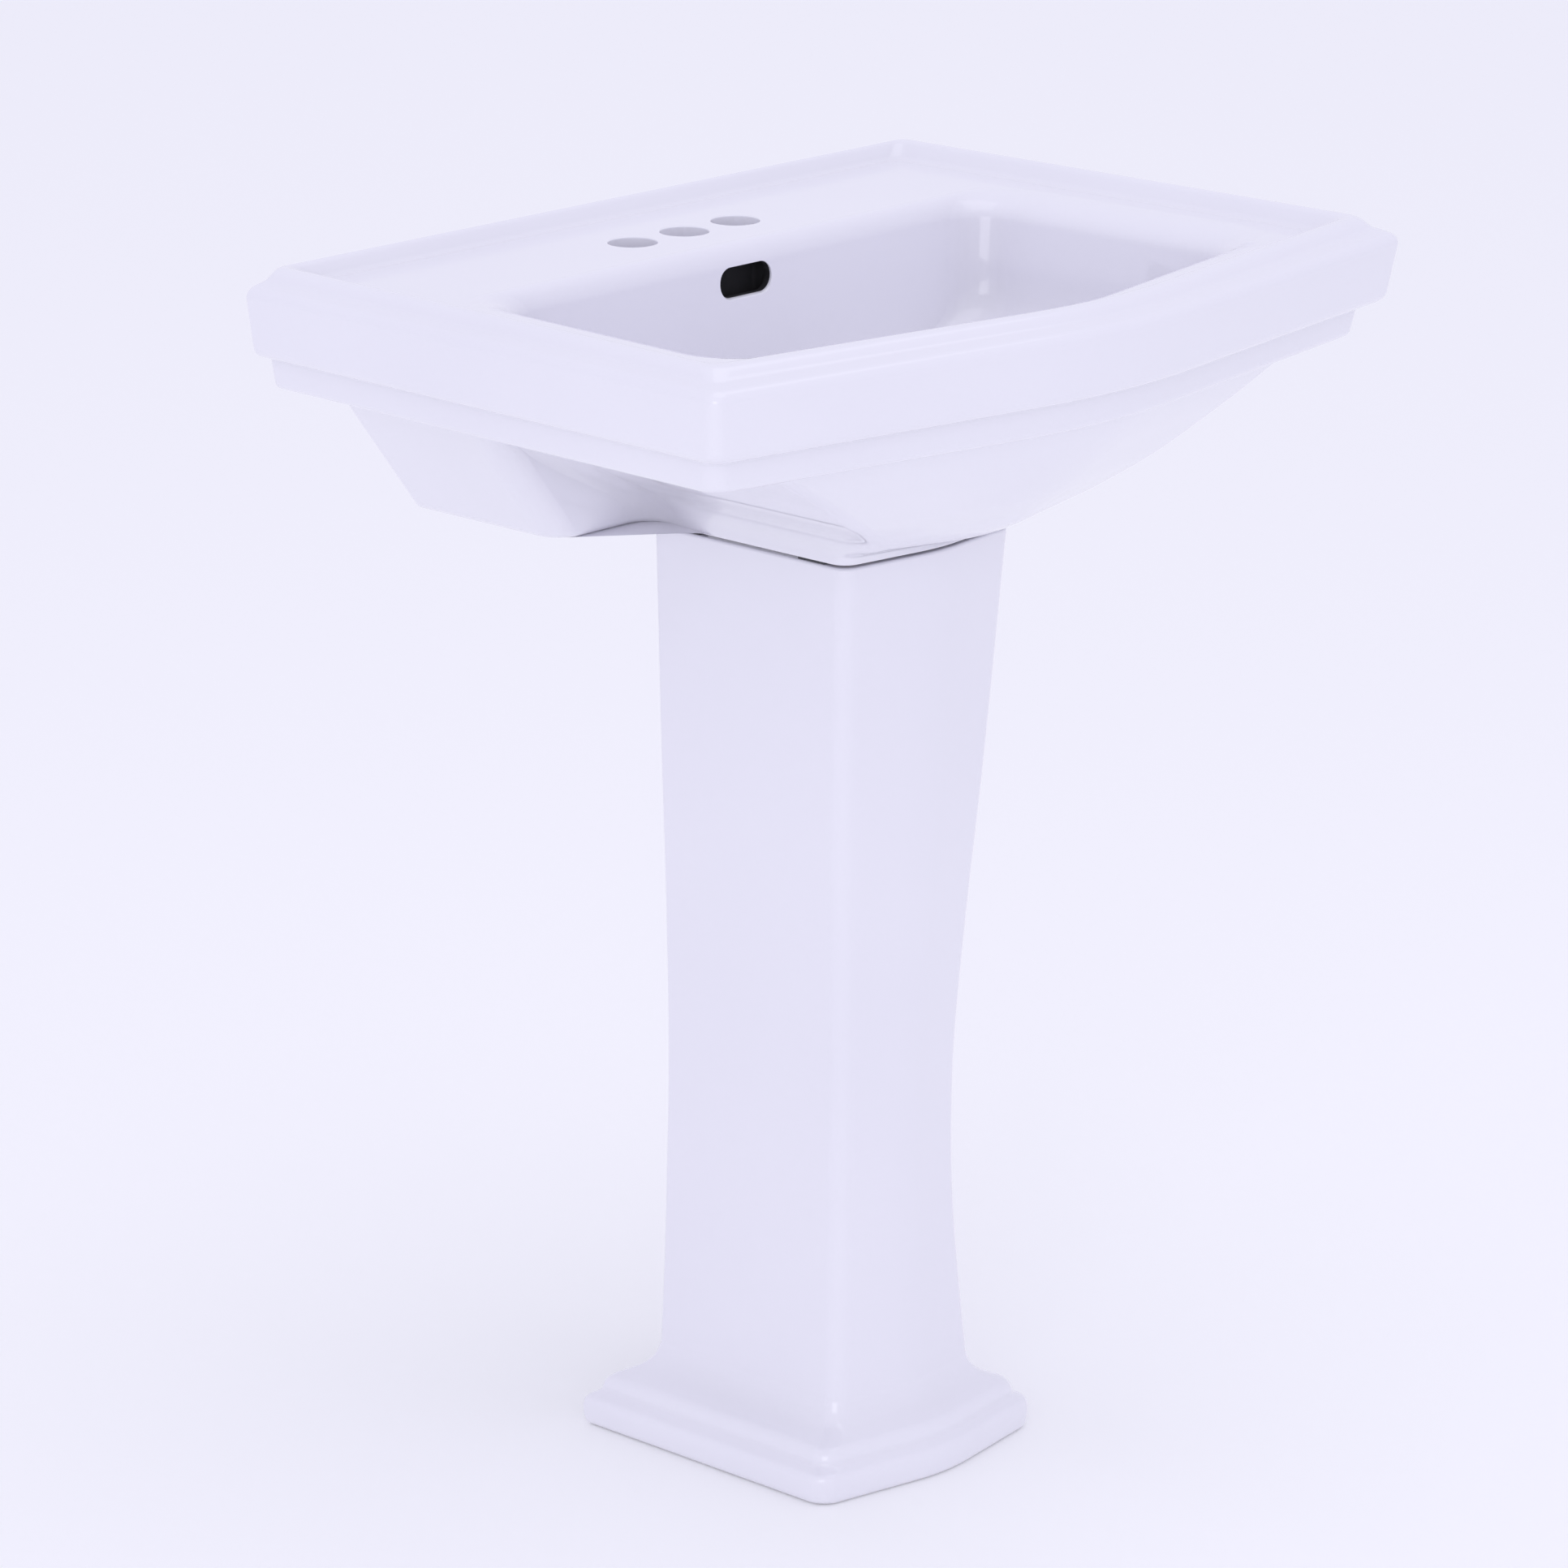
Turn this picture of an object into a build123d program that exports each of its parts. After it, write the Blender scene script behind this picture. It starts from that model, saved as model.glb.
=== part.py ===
"""Pedestal wash basin: china basin and pedestal, push-type drain and P-trap, in millimetres.

Everything is modelled with the wall at y = 0, the user on the -Y side and the floor at z = 0.
The parts are written with the origin moved to the floor, midway between the two floor screw holes.
"""
from build123d import *
import math
import os

CUT_PAST = 1.0              # how far cutting shapes run past the faces they open

# ---- driving dimensions: rim ------------------------------------------------------------------
RIM_HALF_FRONT = 343.0      # half width over the fascia at the front corners
RIM_HALF_BACK = 331.0       # half width over the fascia at the wall
RIM_CORNER_Y = 448.0        # wall to the front corners
RIM_BOW = 50.0              # how far the front bulges past its corners
BOW_ARC_SHARE = 0.23        # share of the half width that the round middle of the bow takes
BAND_BOTTOM_Z = 779.0
DECK_Z = 852.5
DECK_THICKNESS = 14.0
CEILING_Z = DECK_Z - DECK_THICKNESS
FASCIA_CORNER_R = 6.0
BACK_CORNER_R = 2.0
# outside profile of the rim from the underside up to the crest: (inset, height)
FASCIA_PROFILE = [(30.0, 779.0), (24.0, 780.5), (21.0, 785.0), (19.0, 797.0), (16.5, 800.5),
                  (12.0, 803.0), (7.0, 807.0), (5.0, 812.0), (1.0, 836.0), (0.0, 842.0), (0.5, 847.0)]
LEDGE_PROFILE = [(1.8, 850.4), (4.5, 852.4), (8.5, 854.2), (12.8, 855.8), (15.0, 858.4), (18.0, 861.8),
                 (20.5, 863.1), (24.5, 863.5)]
CREST_INSET = 24.5
CREST_BACK_SHARE = 0.4      # the crest runs this share of its side inset away from the wall
COVE_BACK_SHARE = 0.6       # the same for the slope inside the crest
# inside profile from the flat deck up to the crest: (inset, height)
COVE_PROFILE = [(50.0, 852.5), (43.5, 853.5), (37.5, 856.0), (32.5, 860.0), (28.5, 862.8), (24.6, 863.6)]

# ---- driving dimensions: bowl and underside ------------------------------------------------------
# bowl cavity: (height, half width at the back, at the front, back y, corner y, bow, corner radius)
BOWL_SECTIONS = [
    (834.5, 239.0, 247.0, 145.6, 377.5, 43.8, 30.5),
    (779.0, 230.0, 236.0, 152.0, 373.0, 42.0, 38.0),
    (760.0, 203.0, 207.0, 157.0, 366.0, 38.0, 45.0),
    (740.0, 166.0, 168.0, 168.0, 352.0, 30.0, 50.0),
    (729.0, 134.0, 135.0, 180.0, 333.0, 21.0, 50.0),
    (724.0, 104.0, 104.0, 192.0, 309.0, 12.0, 42.0),
    (722.0, 76.0, 76.0, 201.0, 287.0, 5.0, 34.0),
]
# the bowl's lip rolls from the deck down to its first section, widest at the sides
LIP_CUT_PAST = 0.2
LIP_DROP = 18.2
LIP_ANGLES = (0, 12, 25, 40, 55, 75)
LIP_BACK_SIDE = 34.0
LIP_FRONT_SIDE = 41.0
LIP_BACK = 12.0
LIP_FRONT = 20.0
LIP_BOW = 5.0
LIP_BACK_R = 40.0
LIP_FRONT_R = 20.0
# outside of the belly under the rim: (height, half width, corner y, bow, corner radius)
BELLY_SECTIONS = [
    (780.0, 260.0, 422.0, 46.0, 12.0),
    (760.0, 223.0, 415.0, 40.0, 12.0),
    (740.0, 186.0, 405.0, 33.0, 12.0),
    (720.0, 151.0, 392.0, 26.0, 12.0),
    (706.0, 123.0, 379.0, 22.0, 12.0),
    (694.0, 101.0, 364.0, 23.0, 12.0),
    (684.0, 90.0, 343.0, 22.0, 12.0),
    (676.0, 85.5, 322.0, 14.0, 12.0),
    (669.0, 84.5, 318.0, 10.0, 12.0),
]
BELLY_BACK_Y = 136.0
BOWL_FLOOR_Z = 722.0
DRAIN_PAD_Z = 694.0         # underside of the china around the drain
COLLAR_Z = 669.0            # underside of the basin's collar
COLLAR_HOLLOW_HALF = 68.0
COLLAR_HOLLOW_BACK_Y = 152.0
COLLAR_HOLLOW_FRONT_Y = 304.0

# ---- driving dimensions: rear block and its holes ------------------------------------------------
BLOCK_BOTTOM_Z = 672.0
BLOCK_HALF_BOTTOM = 175.0
BLOCK_HALF_TOP = 258.0
BLOCK_DEPTH = 138.0
BLOCK_CORNER_R = 20.0
BLOCK_EDGE_R = 4.0
CHINA_WALL = 14.0
CHAMBER_FRONT_Y = 116.0
WING_INNER_X = 264.0
WING_FRONT_Y = 400.0
FAUCET_PITCH = 50.8
FAUCET_HOLE_R = 17.15
FAUCET_Y = 87.0
WALL_HOLE_SPACING = 280.0
WALL_HOLE_R = 6.5
WALL_HOLE_Z = 740.0

# ---- driving dimensions: overflow ---------------------------------------------------------------
OVERFLOW_WIDTH = 51.0
OVERFLOW_HEIGHT = 22.0
OVERFLOW_Z = 827.0
DUCT_FRONT_Y = 140.0
DUCT_BACK_Y = 129.0
DUCT_BOTTOM_Z = 703.0
DUCT_TOP_Z = 713.0
CHANNEL_WIDTH = 30.0
SLOT_LENGTH = 31.0

# ---- driving dimensions: pedestal ---------------------------------------------------------------
PEDESTAL_TOP_Z = 667.0
# column outline: (height, half width, front corner y, back y, front bow)
COLUMN_SECTIONS = [
    (62.0, 70.5, 298.5, 126.0, 9.5),
    (100.0, 67.6, 296.4, 125.6, 9.0),
    (150.0, 63.8, 293.8, 124.5, 8.5),
    (200.0, 61.5, 292.3, 124.0, 8.5),
    (250.0, 60.8, 292.5, 125.0, 8.5),
    (300.0, 61.5, 294.0, 126.0, 8.5),
    (400.0, 67.5, 300.0, 130.0, 9.0),
    (500.0, 75.0, 307.0, 134.0, 9.5),
    (667.0, 84.5, 318.0, 139.0, 10.0),
]
PLINTH_SECTION = (111.0, 323.0, 88.0, 18.0)
COLUMN_CORNER_R = 11.0
PLINTH_CORNER_R = 14.0
# base moulding: (height, share of the way from the column's outline to the plinth's)
BASE_PROFILE = [(0.0, 0.87), (3.0, 0.965), (8.0, 1.0), (18.0, 1.0), (22.0, 0.95), (24.5, 0.84),
                (26.5, 0.77), (30.0, 0.75), (34.0, 0.71), (37.5, 0.62), (40.0, 0.48), (45.0, 0.25),
                (52.0, 0.09), (62.0, 0.0)]
# hollow inside: (height, half width, front y)
HOLLOW_SECTIONS = [(0.0, 92.0, 300.0), (16.0, 90.0, 298.0), (60.0, 56.0, 284.0), (250.0, 47.0, 279.0),
                   (667.0, 70.5, 304.0)]
HOLLOW_BACK_Y = 80.0
FOOT_BRIDGE_HEIGHT = 12.0
FOOT_BRIDGE_DEPTH = 44.0
FOOT_BRIDGE_OVERLAP = 4.0   # how far the strip runs into the side walls
FLOOR_HOLE_SPACING = 90.0
FLOOR_HOLE_R = 5.0
FLOOR_HOLE_Y = 122.0        # wall to the line of the floor screw holes, where the origin is
PAD_LENGTH = 24.0
PAD_WIDTH = 9.0
PAD_X = 77.5
PAD_YS = (168.0, 285.0)

# ---- driving dimensions: drain and trap ----------------------------------------------------------
DRAIN_Y = 240.0
DRAIN_BORE_R = 22.5
DRAIN_SEAT_R = 35.0
DRAIN_SEAT_Z = 718.5
GASKET_TOP_Z = 719.7
FLANGE_R = 33.0
BODY_R = 19.0
BODY_BORE_R = 16.4
BODY_TOP_Z = 714.9
BODY_BOTTOM_Z = 640.0
SOCKET_TOP_Z = 656.0
THREAD_GAP = 0.1
WINDOW_WIDTH = 8.0
WINDOW_BOTTOM_Z = 696.0
WINDOW_TOP_Z = 703.0
# flange with its neck, push cap and seal as (radius, height)
FLANGE_PROFILE = [(14.2, 705.0), (16.3, 705.0), (16.3, 715.1), (21.5, 716.5), (21.5, GASKET_TOP_Z),
                  (FLANGE_R, GASKET_TOP_Z), (FLANGE_R, 721.4), (31.8, 722.5), (25.0, 722.5), (22.0, 720.6),
                  (18.5, 718.2), (14.2, 717.0)]
CAP_BOTTOM_Z = 716.4
CAP_PROFILE = [(0.0, CAP_BOTTOM_Z), (13.0, CAP_BOTTOM_Z), (13.0, 720.0), (19.5, 720.4), (19.5, 721.6),
               (17.5, 723.0), (12.0, 724.2), (6.0, 724.8), (0.0, 725.0)]
SEAL_PROFILE = [(13.05, 718.4), (16.6, 718.4), (17.4, 719.2), (17.4, 720.0), (13.05, 720.0)]
PLUNGER_R = 3.5
PLUNGER_BOTTOM_Z = 664.0
SPIDER_BOTTOM_Z = 662.0
SPIDER_TOP_Z = 668.0
SPIDER_RIM = 2.3
SPOKE_WIDTH = 3.0
HUB_R = 7.0
HUB_BOTTOM_Z = 660.0
HUB_TOP_Z = 692.0
WASHER_R = 31.0
CONE_TOP_R = 27.0
CONE_BOTTOM_Z = 684.0
LOCKNUT_R = 28.0
LOCKNUT_BOTTOM_Z = 672.0
LOCKNUT_TOP_Z = 682.0
TUBE_R = 15.875             # 1-1/4 in tubular brass
TUBE_WALL = 1.0
TAILPIECE_BOTTOM_Z = 500.0
TAILPIECE_TOP_Z = 654.0
TRAP_BEND_R = 44.0
TRAP_BEND_Z = 452.0
ARM_Z = 505.0
ARM_BEND_R = 30.0
ARM_END_Y = 80.0
OUTLET_Y = DRAIN_Y - 2 * TRAP_BEND_R
CUP_WALL = 1.2
CUP_R = TUBE_R + THREAD_GAP + CUP_WALL
CUP_TOP_Z = 522.0
CUP_BOTTOM_Z = 488.0
INLET_NUT_Z = 508.0
OUTLET_TOP_Z = 470.0
OUTLET_NUT_Z = 458.0
WASHER_THICKNESS = 1.0
WASHER_GAP = 0.02
SLIP_NUT_R = 23.5
SLIP_NUT_TOP_R = 20.3
SLIP_NUT_HEIGHT = 18.0
SLIP_NUT_SHOULDER = 3.0
SLIP_NUT_SKIRT = 13.0


def round_corners(face, points, radius):
    """The face with its corners nearest to the given points filleted."""
    for x, y in points:
        corner = min(face.vertices(), key=lambda v: (v.X - x) ** 2 + (v.Y - y) ** 2)
        face = fillet(corner, radius)
    return face


def plan(half_back, half_front, back_y, corner_y, bow, back_radius, front_radius):
    """Face of a four-sided plan with a bowed front: two straight flanks and a round middle."""
    arc_half = BOW_ARC_SHARE * half_front
    slope = bow / (half_front - arc_half / 2)
    flank_y = -corner_y - (half_front - arc_half) * slope
    front_right = (half_front, -corner_y)
    front_left = (-half_front, -corner_y)
    back_left = (-half_back, -back_y)
    back_right = (half_back, -back_y)
    face = make_face([
        Line(back_left, back_right),
        Line(back_right, front_right),
        Line(front_right, (arc_half, flank_y)),
        ThreePointArc((arc_half, flank_y), (0, -corner_y - bow), (-arc_half, flank_y)),
        Line((-arc_half, flank_y), front_left),
        Line(front_left, back_left),
    ])
    face = round_corners(face, [front_left, front_right], front_radius)
    return round_corners(face, [back_left, back_right], back_radius)


def box_between(x_low, x_high, y_low, y_high, z_low, z_high):
    """Box between two corners, y given as it is in the model."""
    size = (x_high - x_low, y_high - y_low, z_high - z_low)
    middle = ((x_high + x_low) / 2, (y_high + y_low) / 2, (z_high + z_low) / 2)
    return Pos(*middle) * Box(*size)


def post(radius, z_low, z_high, y=-DRAIN_Y, x=0.0):
    """Upright cylinder."""
    return Pos(x, y, (z_low + z_high) / 2) * Cylinder(radius, z_high - z_low)


def turned(profile):
    """Solid of revolution about the drain's axis from (radius, height) points."""
    outline = make_face(Polyline([(r, 0, z) for r, z in profile], close=True))
    return Pos(0, -DRAIN_Y, 0) * revolve(outline, Axis.Z)


# ---- basin ------------------------------------------------------------------------------------
def rim_plan(inset, z, back_y, radius, back_radius):
    """Rim outline at an inset from the widest line of the fascia."""
    face = plan(RIM_HALF_BACK - inset, RIM_HALF_FRONT - inset, back_y, RIM_CORNER_Y - inset, RIM_BOW,
                back_radius, radius)
    return Pos(0, 0, z) * face


def ridge_plan(inset, z):
    """Rim outline on the ledge or the ridge, whose back stays closer to the wall than its sides."""
    past_crest = max(0.0, inset - CREST_INSET)
    back_y = CREST_BACK_SHARE * (inset - past_crest) + COVE_BACK_SHARE * past_crest
    return rim_plan(inset, z, back_y, FASCIA_CORNER_R + inset / 6, BACK_CORNER_R + inset / 5)


def rim_body():
    """Rim from its underside to the crest of the raised ridge, still solid."""
    lower = [rim_plan(inset, z, 0.0, FASCIA_CORNER_R, BACK_CORNER_R) for inset, z in FASCIA_PROFILE]
    return loft(lower + [ridge_plan(inset, z) for inset, z in LEDGE_PROFILE], ruled=True)


def deck_recess():
    """Space inside the ridge, down the cove to the flat deck."""
    sections = [ridge_plan(inset, z) for inset, z in COVE_PROFILE]
    last_inset, last_z = COVE_PROFILE[-1]
    sections.append(ridge_plan(last_inset, last_z + CUT_PAST))
    return loft(sections, ruled=True)


def lip_section(angle):
    """Outline of the bowl's rolled lip where its surface has turned down by an angle."""
    _, half_back, half_front, back_y, corner_y, bow, radius = BOWL_SECTIONS[0]
    share = 1 - math.sin(math.radians(angle))
    drop = LIP_DROP * (1 - math.cos(math.radians(angle)))
    outline = plan(half_back + LIP_BACK_SIDE * share, half_front + LIP_FRONT_SIDE * share,
                   back_y - LIP_BACK * share, corner_y + LIP_FRONT * share, bow + LIP_BOW * share,
                   radius + LIP_BACK_R * share, radius + LIP_FRONT_R * share)
    return Pos(0, 0, DECK_Z + LIP_CUT_PAST - drop) * outline


def bowl_cavity():
    """Inside of the bowl, from just over the deck to the floor around the drain."""
    sections = [Pos(0, 0, z) * plan(half_back, half_front, back_y, corner_y, bow, radius, radius)
                for z, half_back, half_front, back_y, corner_y, bow, radius in BOWL_SECTIONS]
    return loft([lip_section(angle) for angle in LIP_ANGLES] + sections, ruled=True)


def belly():
    """Outside of the bowl below the rim, down to the collar that meets the pedestal."""
    sections = [Pos(0, 0, z) * plan(half, half, BELLY_BACK_Y, corner_y, bow, 4.0, radius)
                for z, half, corner_y, bow, radius in BELLY_SECTIONS]
    return loft(sections, ruled=True)


def block_plan(half, depth, z):
    """Outline of the rear block: flat on the wall, with round front corners."""
    face = make_face(Polyline([(-half, 0), (half, 0), (half, -depth), (-half, -depth)], close=True))
    return Pos(0, 0, z) * round_corners(face, [(half, -depth), (-half, -depth)], BLOCK_CORNER_R)


def rear_block():
    """Tapering block behind the bowl that hangs on the wall."""
    sections = [
        block_plan(BLOCK_HALF_BOTTOM - BLOCK_EDGE_R, BLOCK_DEPTH - BLOCK_EDGE_R, BLOCK_BOTTOM_Z),
        block_plan(BLOCK_HALF_BOTTOM, BLOCK_DEPTH, BLOCK_BOTTOM_Z + BLOCK_EDGE_R),
        block_plan(BLOCK_HALF_TOP, BLOCK_DEPTH, BAND_BOTTOM_Z + 1.0),
    ]
    return loft(sections, ruled=True)


def rear_chamber():
    """Open-bottomed space in the rear block for the tap shanks and wall screws."""
    halves = [(BLOCK_BOTTOM_Z - CUT_PAST, BLOCK_HALF_BOTTOM - BLOCK_EDGE_R - CHINA_WALL),
              (BAND_BOTTOM_Z, BLOCK_HALF_TOP - CHINA_WALL), (CEILING_Z, BLOCK_HALF_TOP - CHINA_WALL)]
    middle_y = -(CHINA_WALL + CHAMBER_FRONT_Y) / 2
    depth = CHAMBER_FRONT_Y - CHINA_WALL
    return loft([Pos(0, middle_y, z) * Rectangle(2 * half, depth) for z, half in halves], ruled=True)


def wing_recess(side):
    """Open channel under the deck between the bowl wall and the fascia, side +1 or -1."""
    skirt = FASCIA_PROFILE[0][0] + CHINA_WALL
    corners = [(WING_INNER_X, -CHINA_WALL), (RIM_HALF_BACK - skirt, -CHINA_WALL),
               (RIM_HALF_FRONT - skirt - 1.0, -WING_FRONT_Y), (WING_INNER_X, -WING_FRONT_Y)]
    outline = make_face(Polyline([(side * x, y) for x, y in corners], close=True))
    bottom_z = BAND_BOTTOM_Z - CUT_PAST
    return Pos(0, 0, bottom_z) * extrude(outline, CEILING_Z - bottom_z, dir=(0, 0, 1))


def overflow_passage():
    """Slot in the back of the bowl, the duct behind it and the channel to the drain."""
    slot = extrude(Plane.XZ * SlotOverall(OVERFLOW_WIDTH, OVERFLOW_HEIGHT), SLOT_LENGTH)
    slot = Pos(0, -DUCT_BACK_Y, OVERFLOW_Z) * slot
    duct = box_between(-OVERFLOW_WIDTH / 2, OVERFLOW_WIDTH / 2, -DUCT_FRONT_Y, -DUCT_BACK_Y,
                       DUCT_BOTTOM_Z, OVERFLOW_Z + OVERFLOW_HEIGHT / 2)
    channel = box_between(-CHANNEL_WIDTH / 2, CHANNEL_WIDTH / 2, -DRAIN_Y, -DUCT_BACK_Y,
                          DUCT_BOTTOM_Z, DUCT_TOP_Z)
    return slot + duct + channel


def basin():
    """The basin casting with its bowl, hollows, overflow and holes."""
    shape = rim_body() + belly() + rear_block()
    shape = shape - deck_recess() - bowl_cavity() - rear_chamber()
    shape = shape - wing_recess(1) - wing_recess(-1)
    shape -= box_between(-COLLAR_HOLLOW_HALF, COLLAR_HOLLOW_HALF, -COLLAR_HOLLOW_FRONT_Y,
                         -COLLAR_HOLLOW_BACK_Y, COLLAR_Z - CUT_PAST, DRAIN_PAD_Z)
    shape -= post(DRAIN_BORE_R, DRAIN_PAD_Z - CUT_PAST, BOWL_FLOOR_Z + CUT_PAST)
    shape -= post(DRAIN_SEAT_R, DRAIN_SEAT_Z, BOWL_FLOOR_Z + CUT_PAST)
    shape -= overflow_passage()
    for column in (-1, 0, 1):
        shape -= post(FAUCET_HOLE_R, CEILING_Z - CUT_PAST, DECK_Z + CUT_PAST, -FAUCET_Y,
                      column * FAUCET_PITCH)
    for side in (-1, 1):
        hole = Rot(90, 0, 0) * Cylinder(WALL_HOLE_R, CHINA_WALL + 2 * CUT_PAST)
        shape -= Pos(side * WALL_HOLE_SPACING / 2, -CHINA_WALL / 2, WALL_HOLE_Z) * hole
    return shape


# ---- pedestal ----------------------------------------------------------------------------------
def base_plan(share, z):
    """Outline between the column's foot (share 0) and the plinth (share 1)."""
    _, *column = COLUMN_SECTIONS[0]
    half, corner_y, back_y, bow = [a + (b - a) * share for a, b in zip(column, PLINTH_SECTION)]
    radius = COLUMN_CORNER_R + (PLINTH_CORNER_R - COLUMN_CORNER_R) * share
    return Pos(0, 0, z) * plan(half, half, back_y, corner_y, bow, radius, radius)


def pedestal_outside():
    """Moulded base and the waisted column on it."""
    base = loft([base_plan(share, z) for z, share in BASE_PROFILE], ruled=True)
    column = loft([Pos(0, 0, z) * plan(half, half, back_y, corner_y, bow, COLUMN_CORNER_R, COLUMN_CORNER_R)
                   for z, half, corner_y, back_y, bow in COLUMN_SECTIONS], ruled=True)
    return base + column


def pedestal_hollow():
    """Space inside the pedestal, open at the back, top and bottom."""
    sections = [Pos(0, -(HOLLOW_BACK_Y + front_y) / 2, z) * Rectangle(2 * half, front_y - HOLLOW_BACK_Y)
                for z, half, front_y in HOLLOW_SECTIONS]
    return loft(sections, ruled=True)


def foot_bridge():
    """Strip across the foot that takes the two floor screws."""
    half = HOLLOW_SECTIONS[0][1] + FOOT_BRIDGE_OVERLAP
    front_y = -FLOOR_HOLE_Y - FOOT_BRIDGE_DEPTH / 2
    bridge = box_between(-half, half, front_y, front_y + FOOT_BRIDGE_DEPTH, 0.0, FOOT_BRIDGE_HEIGHT)
    for side in (-1, 1):
        bridge -= post(FLOOR_HOLE_R, -CUT_PAST, FOOT_BRIDGE_HEIGHT + CUT_PAST, -FLOOR_HOLE_Y,
                       side * FLOOR_HOLE_SPACING / 2)
    return bridge


def pedestal():
    """The pedestal casting."""
    return pedestal_outside() - pedestal_hollow() + foot_bridge()


def rest_pads():
    """Four soft pads between the pedestal's top edge and the basin's collar."""
    pads = [box_between(side * PAD_X - PAD_WIDTH / 2, side * PAD_X + PAD_WIDTH / 2, -y - PAD_LENGTH / 2,
                        -y + PAD_LENGTH / 2, PEDESTAL_TOP_Z, COLLAR_Z) for side in (-1, 1) for y in PAD_YS]
    return Compound(children=pads)


# ---- drain -------------------------------------------------------------------------------------
def ring(outer_r, inner_r, z_low, z_high, y=-DRAIN_Y):
    """Upright tube or washer."""
    return post(outer_r, z_low, z_high, y) - post(inner_r, z_low - CUT_PAST, z_high + CUT_PAST, y)


def crossed_bars(length, width, z_low, z_high):
    """Two bars crossing on the drain's axis."""
    bar = Box(length, width, z_high - z_low) + Box(width, length, z_high - z_low)
    return Pos(0, -DRAIN_Y, (z_low + z_high) / 2) * bar


def flange_gasket():
    """Soft ring between the china seat and the flange."""
    return ring(FLANGE_R - 1.0, DRAIN_BORE_R, DRAIN_SEAT_Z, GASKET_TOP_Z)


def drain_flange():
    """Dished flange with the threaded neck that screws into the drain body."""
    return turned(FLANGE_PROFILE)


def drain_body():
    """Threaded drain tube with four overflow windows."""
    socket_r = TUBE_R + THREAD_GAP
    tube = turned([(BODY_BORE_R, SOCKET_TOP_Z + 2.0), (socket_r, SOCKET_TOP_Z), (socket_r, BODY_BOTTOM_Z),
                   (BODY_R, BODY_BOTTOM_Z), (BODY_R, BODY_TOP_Z), (BODY_BORE_R, BODY_TOP_Z)])
    return tube - crossed_bars(3 * BODY_R, WINDOW_WIDTH, WINDOW_BOTTOM_Z, WINDOW_TOP_Z)


def cone_washer():
    """Tapered rubber washer that seals the body under the china."""
    inner = BODY_R + THREAD_GAP
    return turned([(inner, CONE_BOTTOM_Z), (WASHER_R, CONE_BOTTOM_Z), (WASHER_R, CONE_BOTTOM_Z + 4.0),
                   (CONE_TOP_R, DRAIN_PAD_Z), (inner, DRAIN_PAD_Z)])


def friction_washer():
    """Stiff slip washer between the rubber and the locknut."""
    return ring(WASHER_R, BODY_R + THREAD_GAP, LOCKNUT_TOP_Z, CONE_BOTTOM_Z)


def drain_locknut():
    """Large hexagon nut that clamps the drain to the basin."""
    hexagon = extrude(RegularPolygon(LOCKNUT_R, 6), LOCKNUT_TOP_Z - LOCKNUT_BOTTOM_Z)
    nut = Pos(0, -DRAIN_Y, LOCKNUT_BOTTOM_Z) * hexagon
    return nut - post(BODY_R + THREAD_GAP, LOCKNUT_BOTTOM_Z - CUT_PAST, LOCKNUT_TOP_Z + CUT_PAST)


def stopper_cartridge():
    """Spider in the drain body whose hub guides the stopper's plunger."""
    outer_r = BODY_BORE_R - THREAD_GAP
    rim = ring(outer_r, outer_r - SPIDER_RIM, SPIDER_BOTTOM_Z, SPIDER_TOP_Z)
    spokes = crossed_bars(2 * outer_r - SPIDER_RIM, SPOKE_WIDTH, SPIDER_BOTTOM_Z, SPIDER_TOP_Z)
    hub = post(HUB_R, HUB_BOTTOM_Z, HUB_TOP_Z)
    return rim + hub + spokes - post(PLUNGER_R + THREAD_GAP, HUB_BOTTOM_Z - CUT_PAST, HUB_TOP_Z + CUT_PAST)


def stopper_cap():
    """Domed push cap."""
    return turned(CAP_PROFILE)


def stopper_seal():
    """Rubber ring under the cap that closes on the flange's throat."""
    return turned(SEAL_PROFILE)


def stopper_plunger():
    """Rod under the cap that slides in the cartridge."""
    return post(PLUNGER_R, PLUNGER_BOTTOM_Z, CAP_BOTTOM_Z)


def tailpiece():
    """Straight tube from the drain body down into the trap."""
    return ring(TUBE_R, TUBE_R - TUBE_WALL, TAILPIECE_BOTTOM_Z, TAILPIECE_TOP_Z)


# ---- trap --------------------------------------------------------------------------------------
def tube_along(path, radius):
    """Round bar along a path that starts straight down or straight up."""
    start = path.edges()[0]
    return sweep(Plane(origin=start @ 0, z_dir=start % 0) * Circle(radius), path)


def hollow_tube(path):
    """Tube of the trap's size along a path."""
    return tube_along(path, TUBE_R) - tube_along(path, TUBE_R - TUBE_WALL)


def trap_j_bend():
    """U-shaped bend with a widened cup that takes the tailpiece and a collar at its outlet."""
    inlet_top = (0, -DRAIN_Y, CUP_BOTTOM_Z)
    inlet = (0, -DRAIN_Y, TRAP_BEND_Z)
    bottom = (0, -DRAIN_Y + TRAP_BEND_R, TRAP_BEND_Z - TRAP_BEND_R)
    outlet = (0, -OUTLET_Y, TRAP_BEND_Z)
    outlet_top = (0, -OUTLET_Y, OUTLET_TOP_Z)
    path = Wire([Line(inlet_top, inlet), ThreePointArc(inlet, bottom, outlet), Line(outlet, outlet_top)])
    cup = turned([(TUBE_R - TUBE_WALL, CUP_BOTTOM_Z), (TUBE_R, CUP_BOTTOM_Z), (CUP_R, CUP_BOTTOM_Z + 3.0),
                  (CUP_R, CUP_TOP_Z), (CUP_R - CUP_WALL, CUP_TOP_Z), (CUP_R - CUP_WALL, CUP_BOTTOM_Z + 4.0)])
    return hollow_tube(path) + cup + ring(CUP_R, TUBE_R, OUTLET_NUT_Z - 2.0, OUTLET_TOP_Z, -OUTLET_Y)


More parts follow.
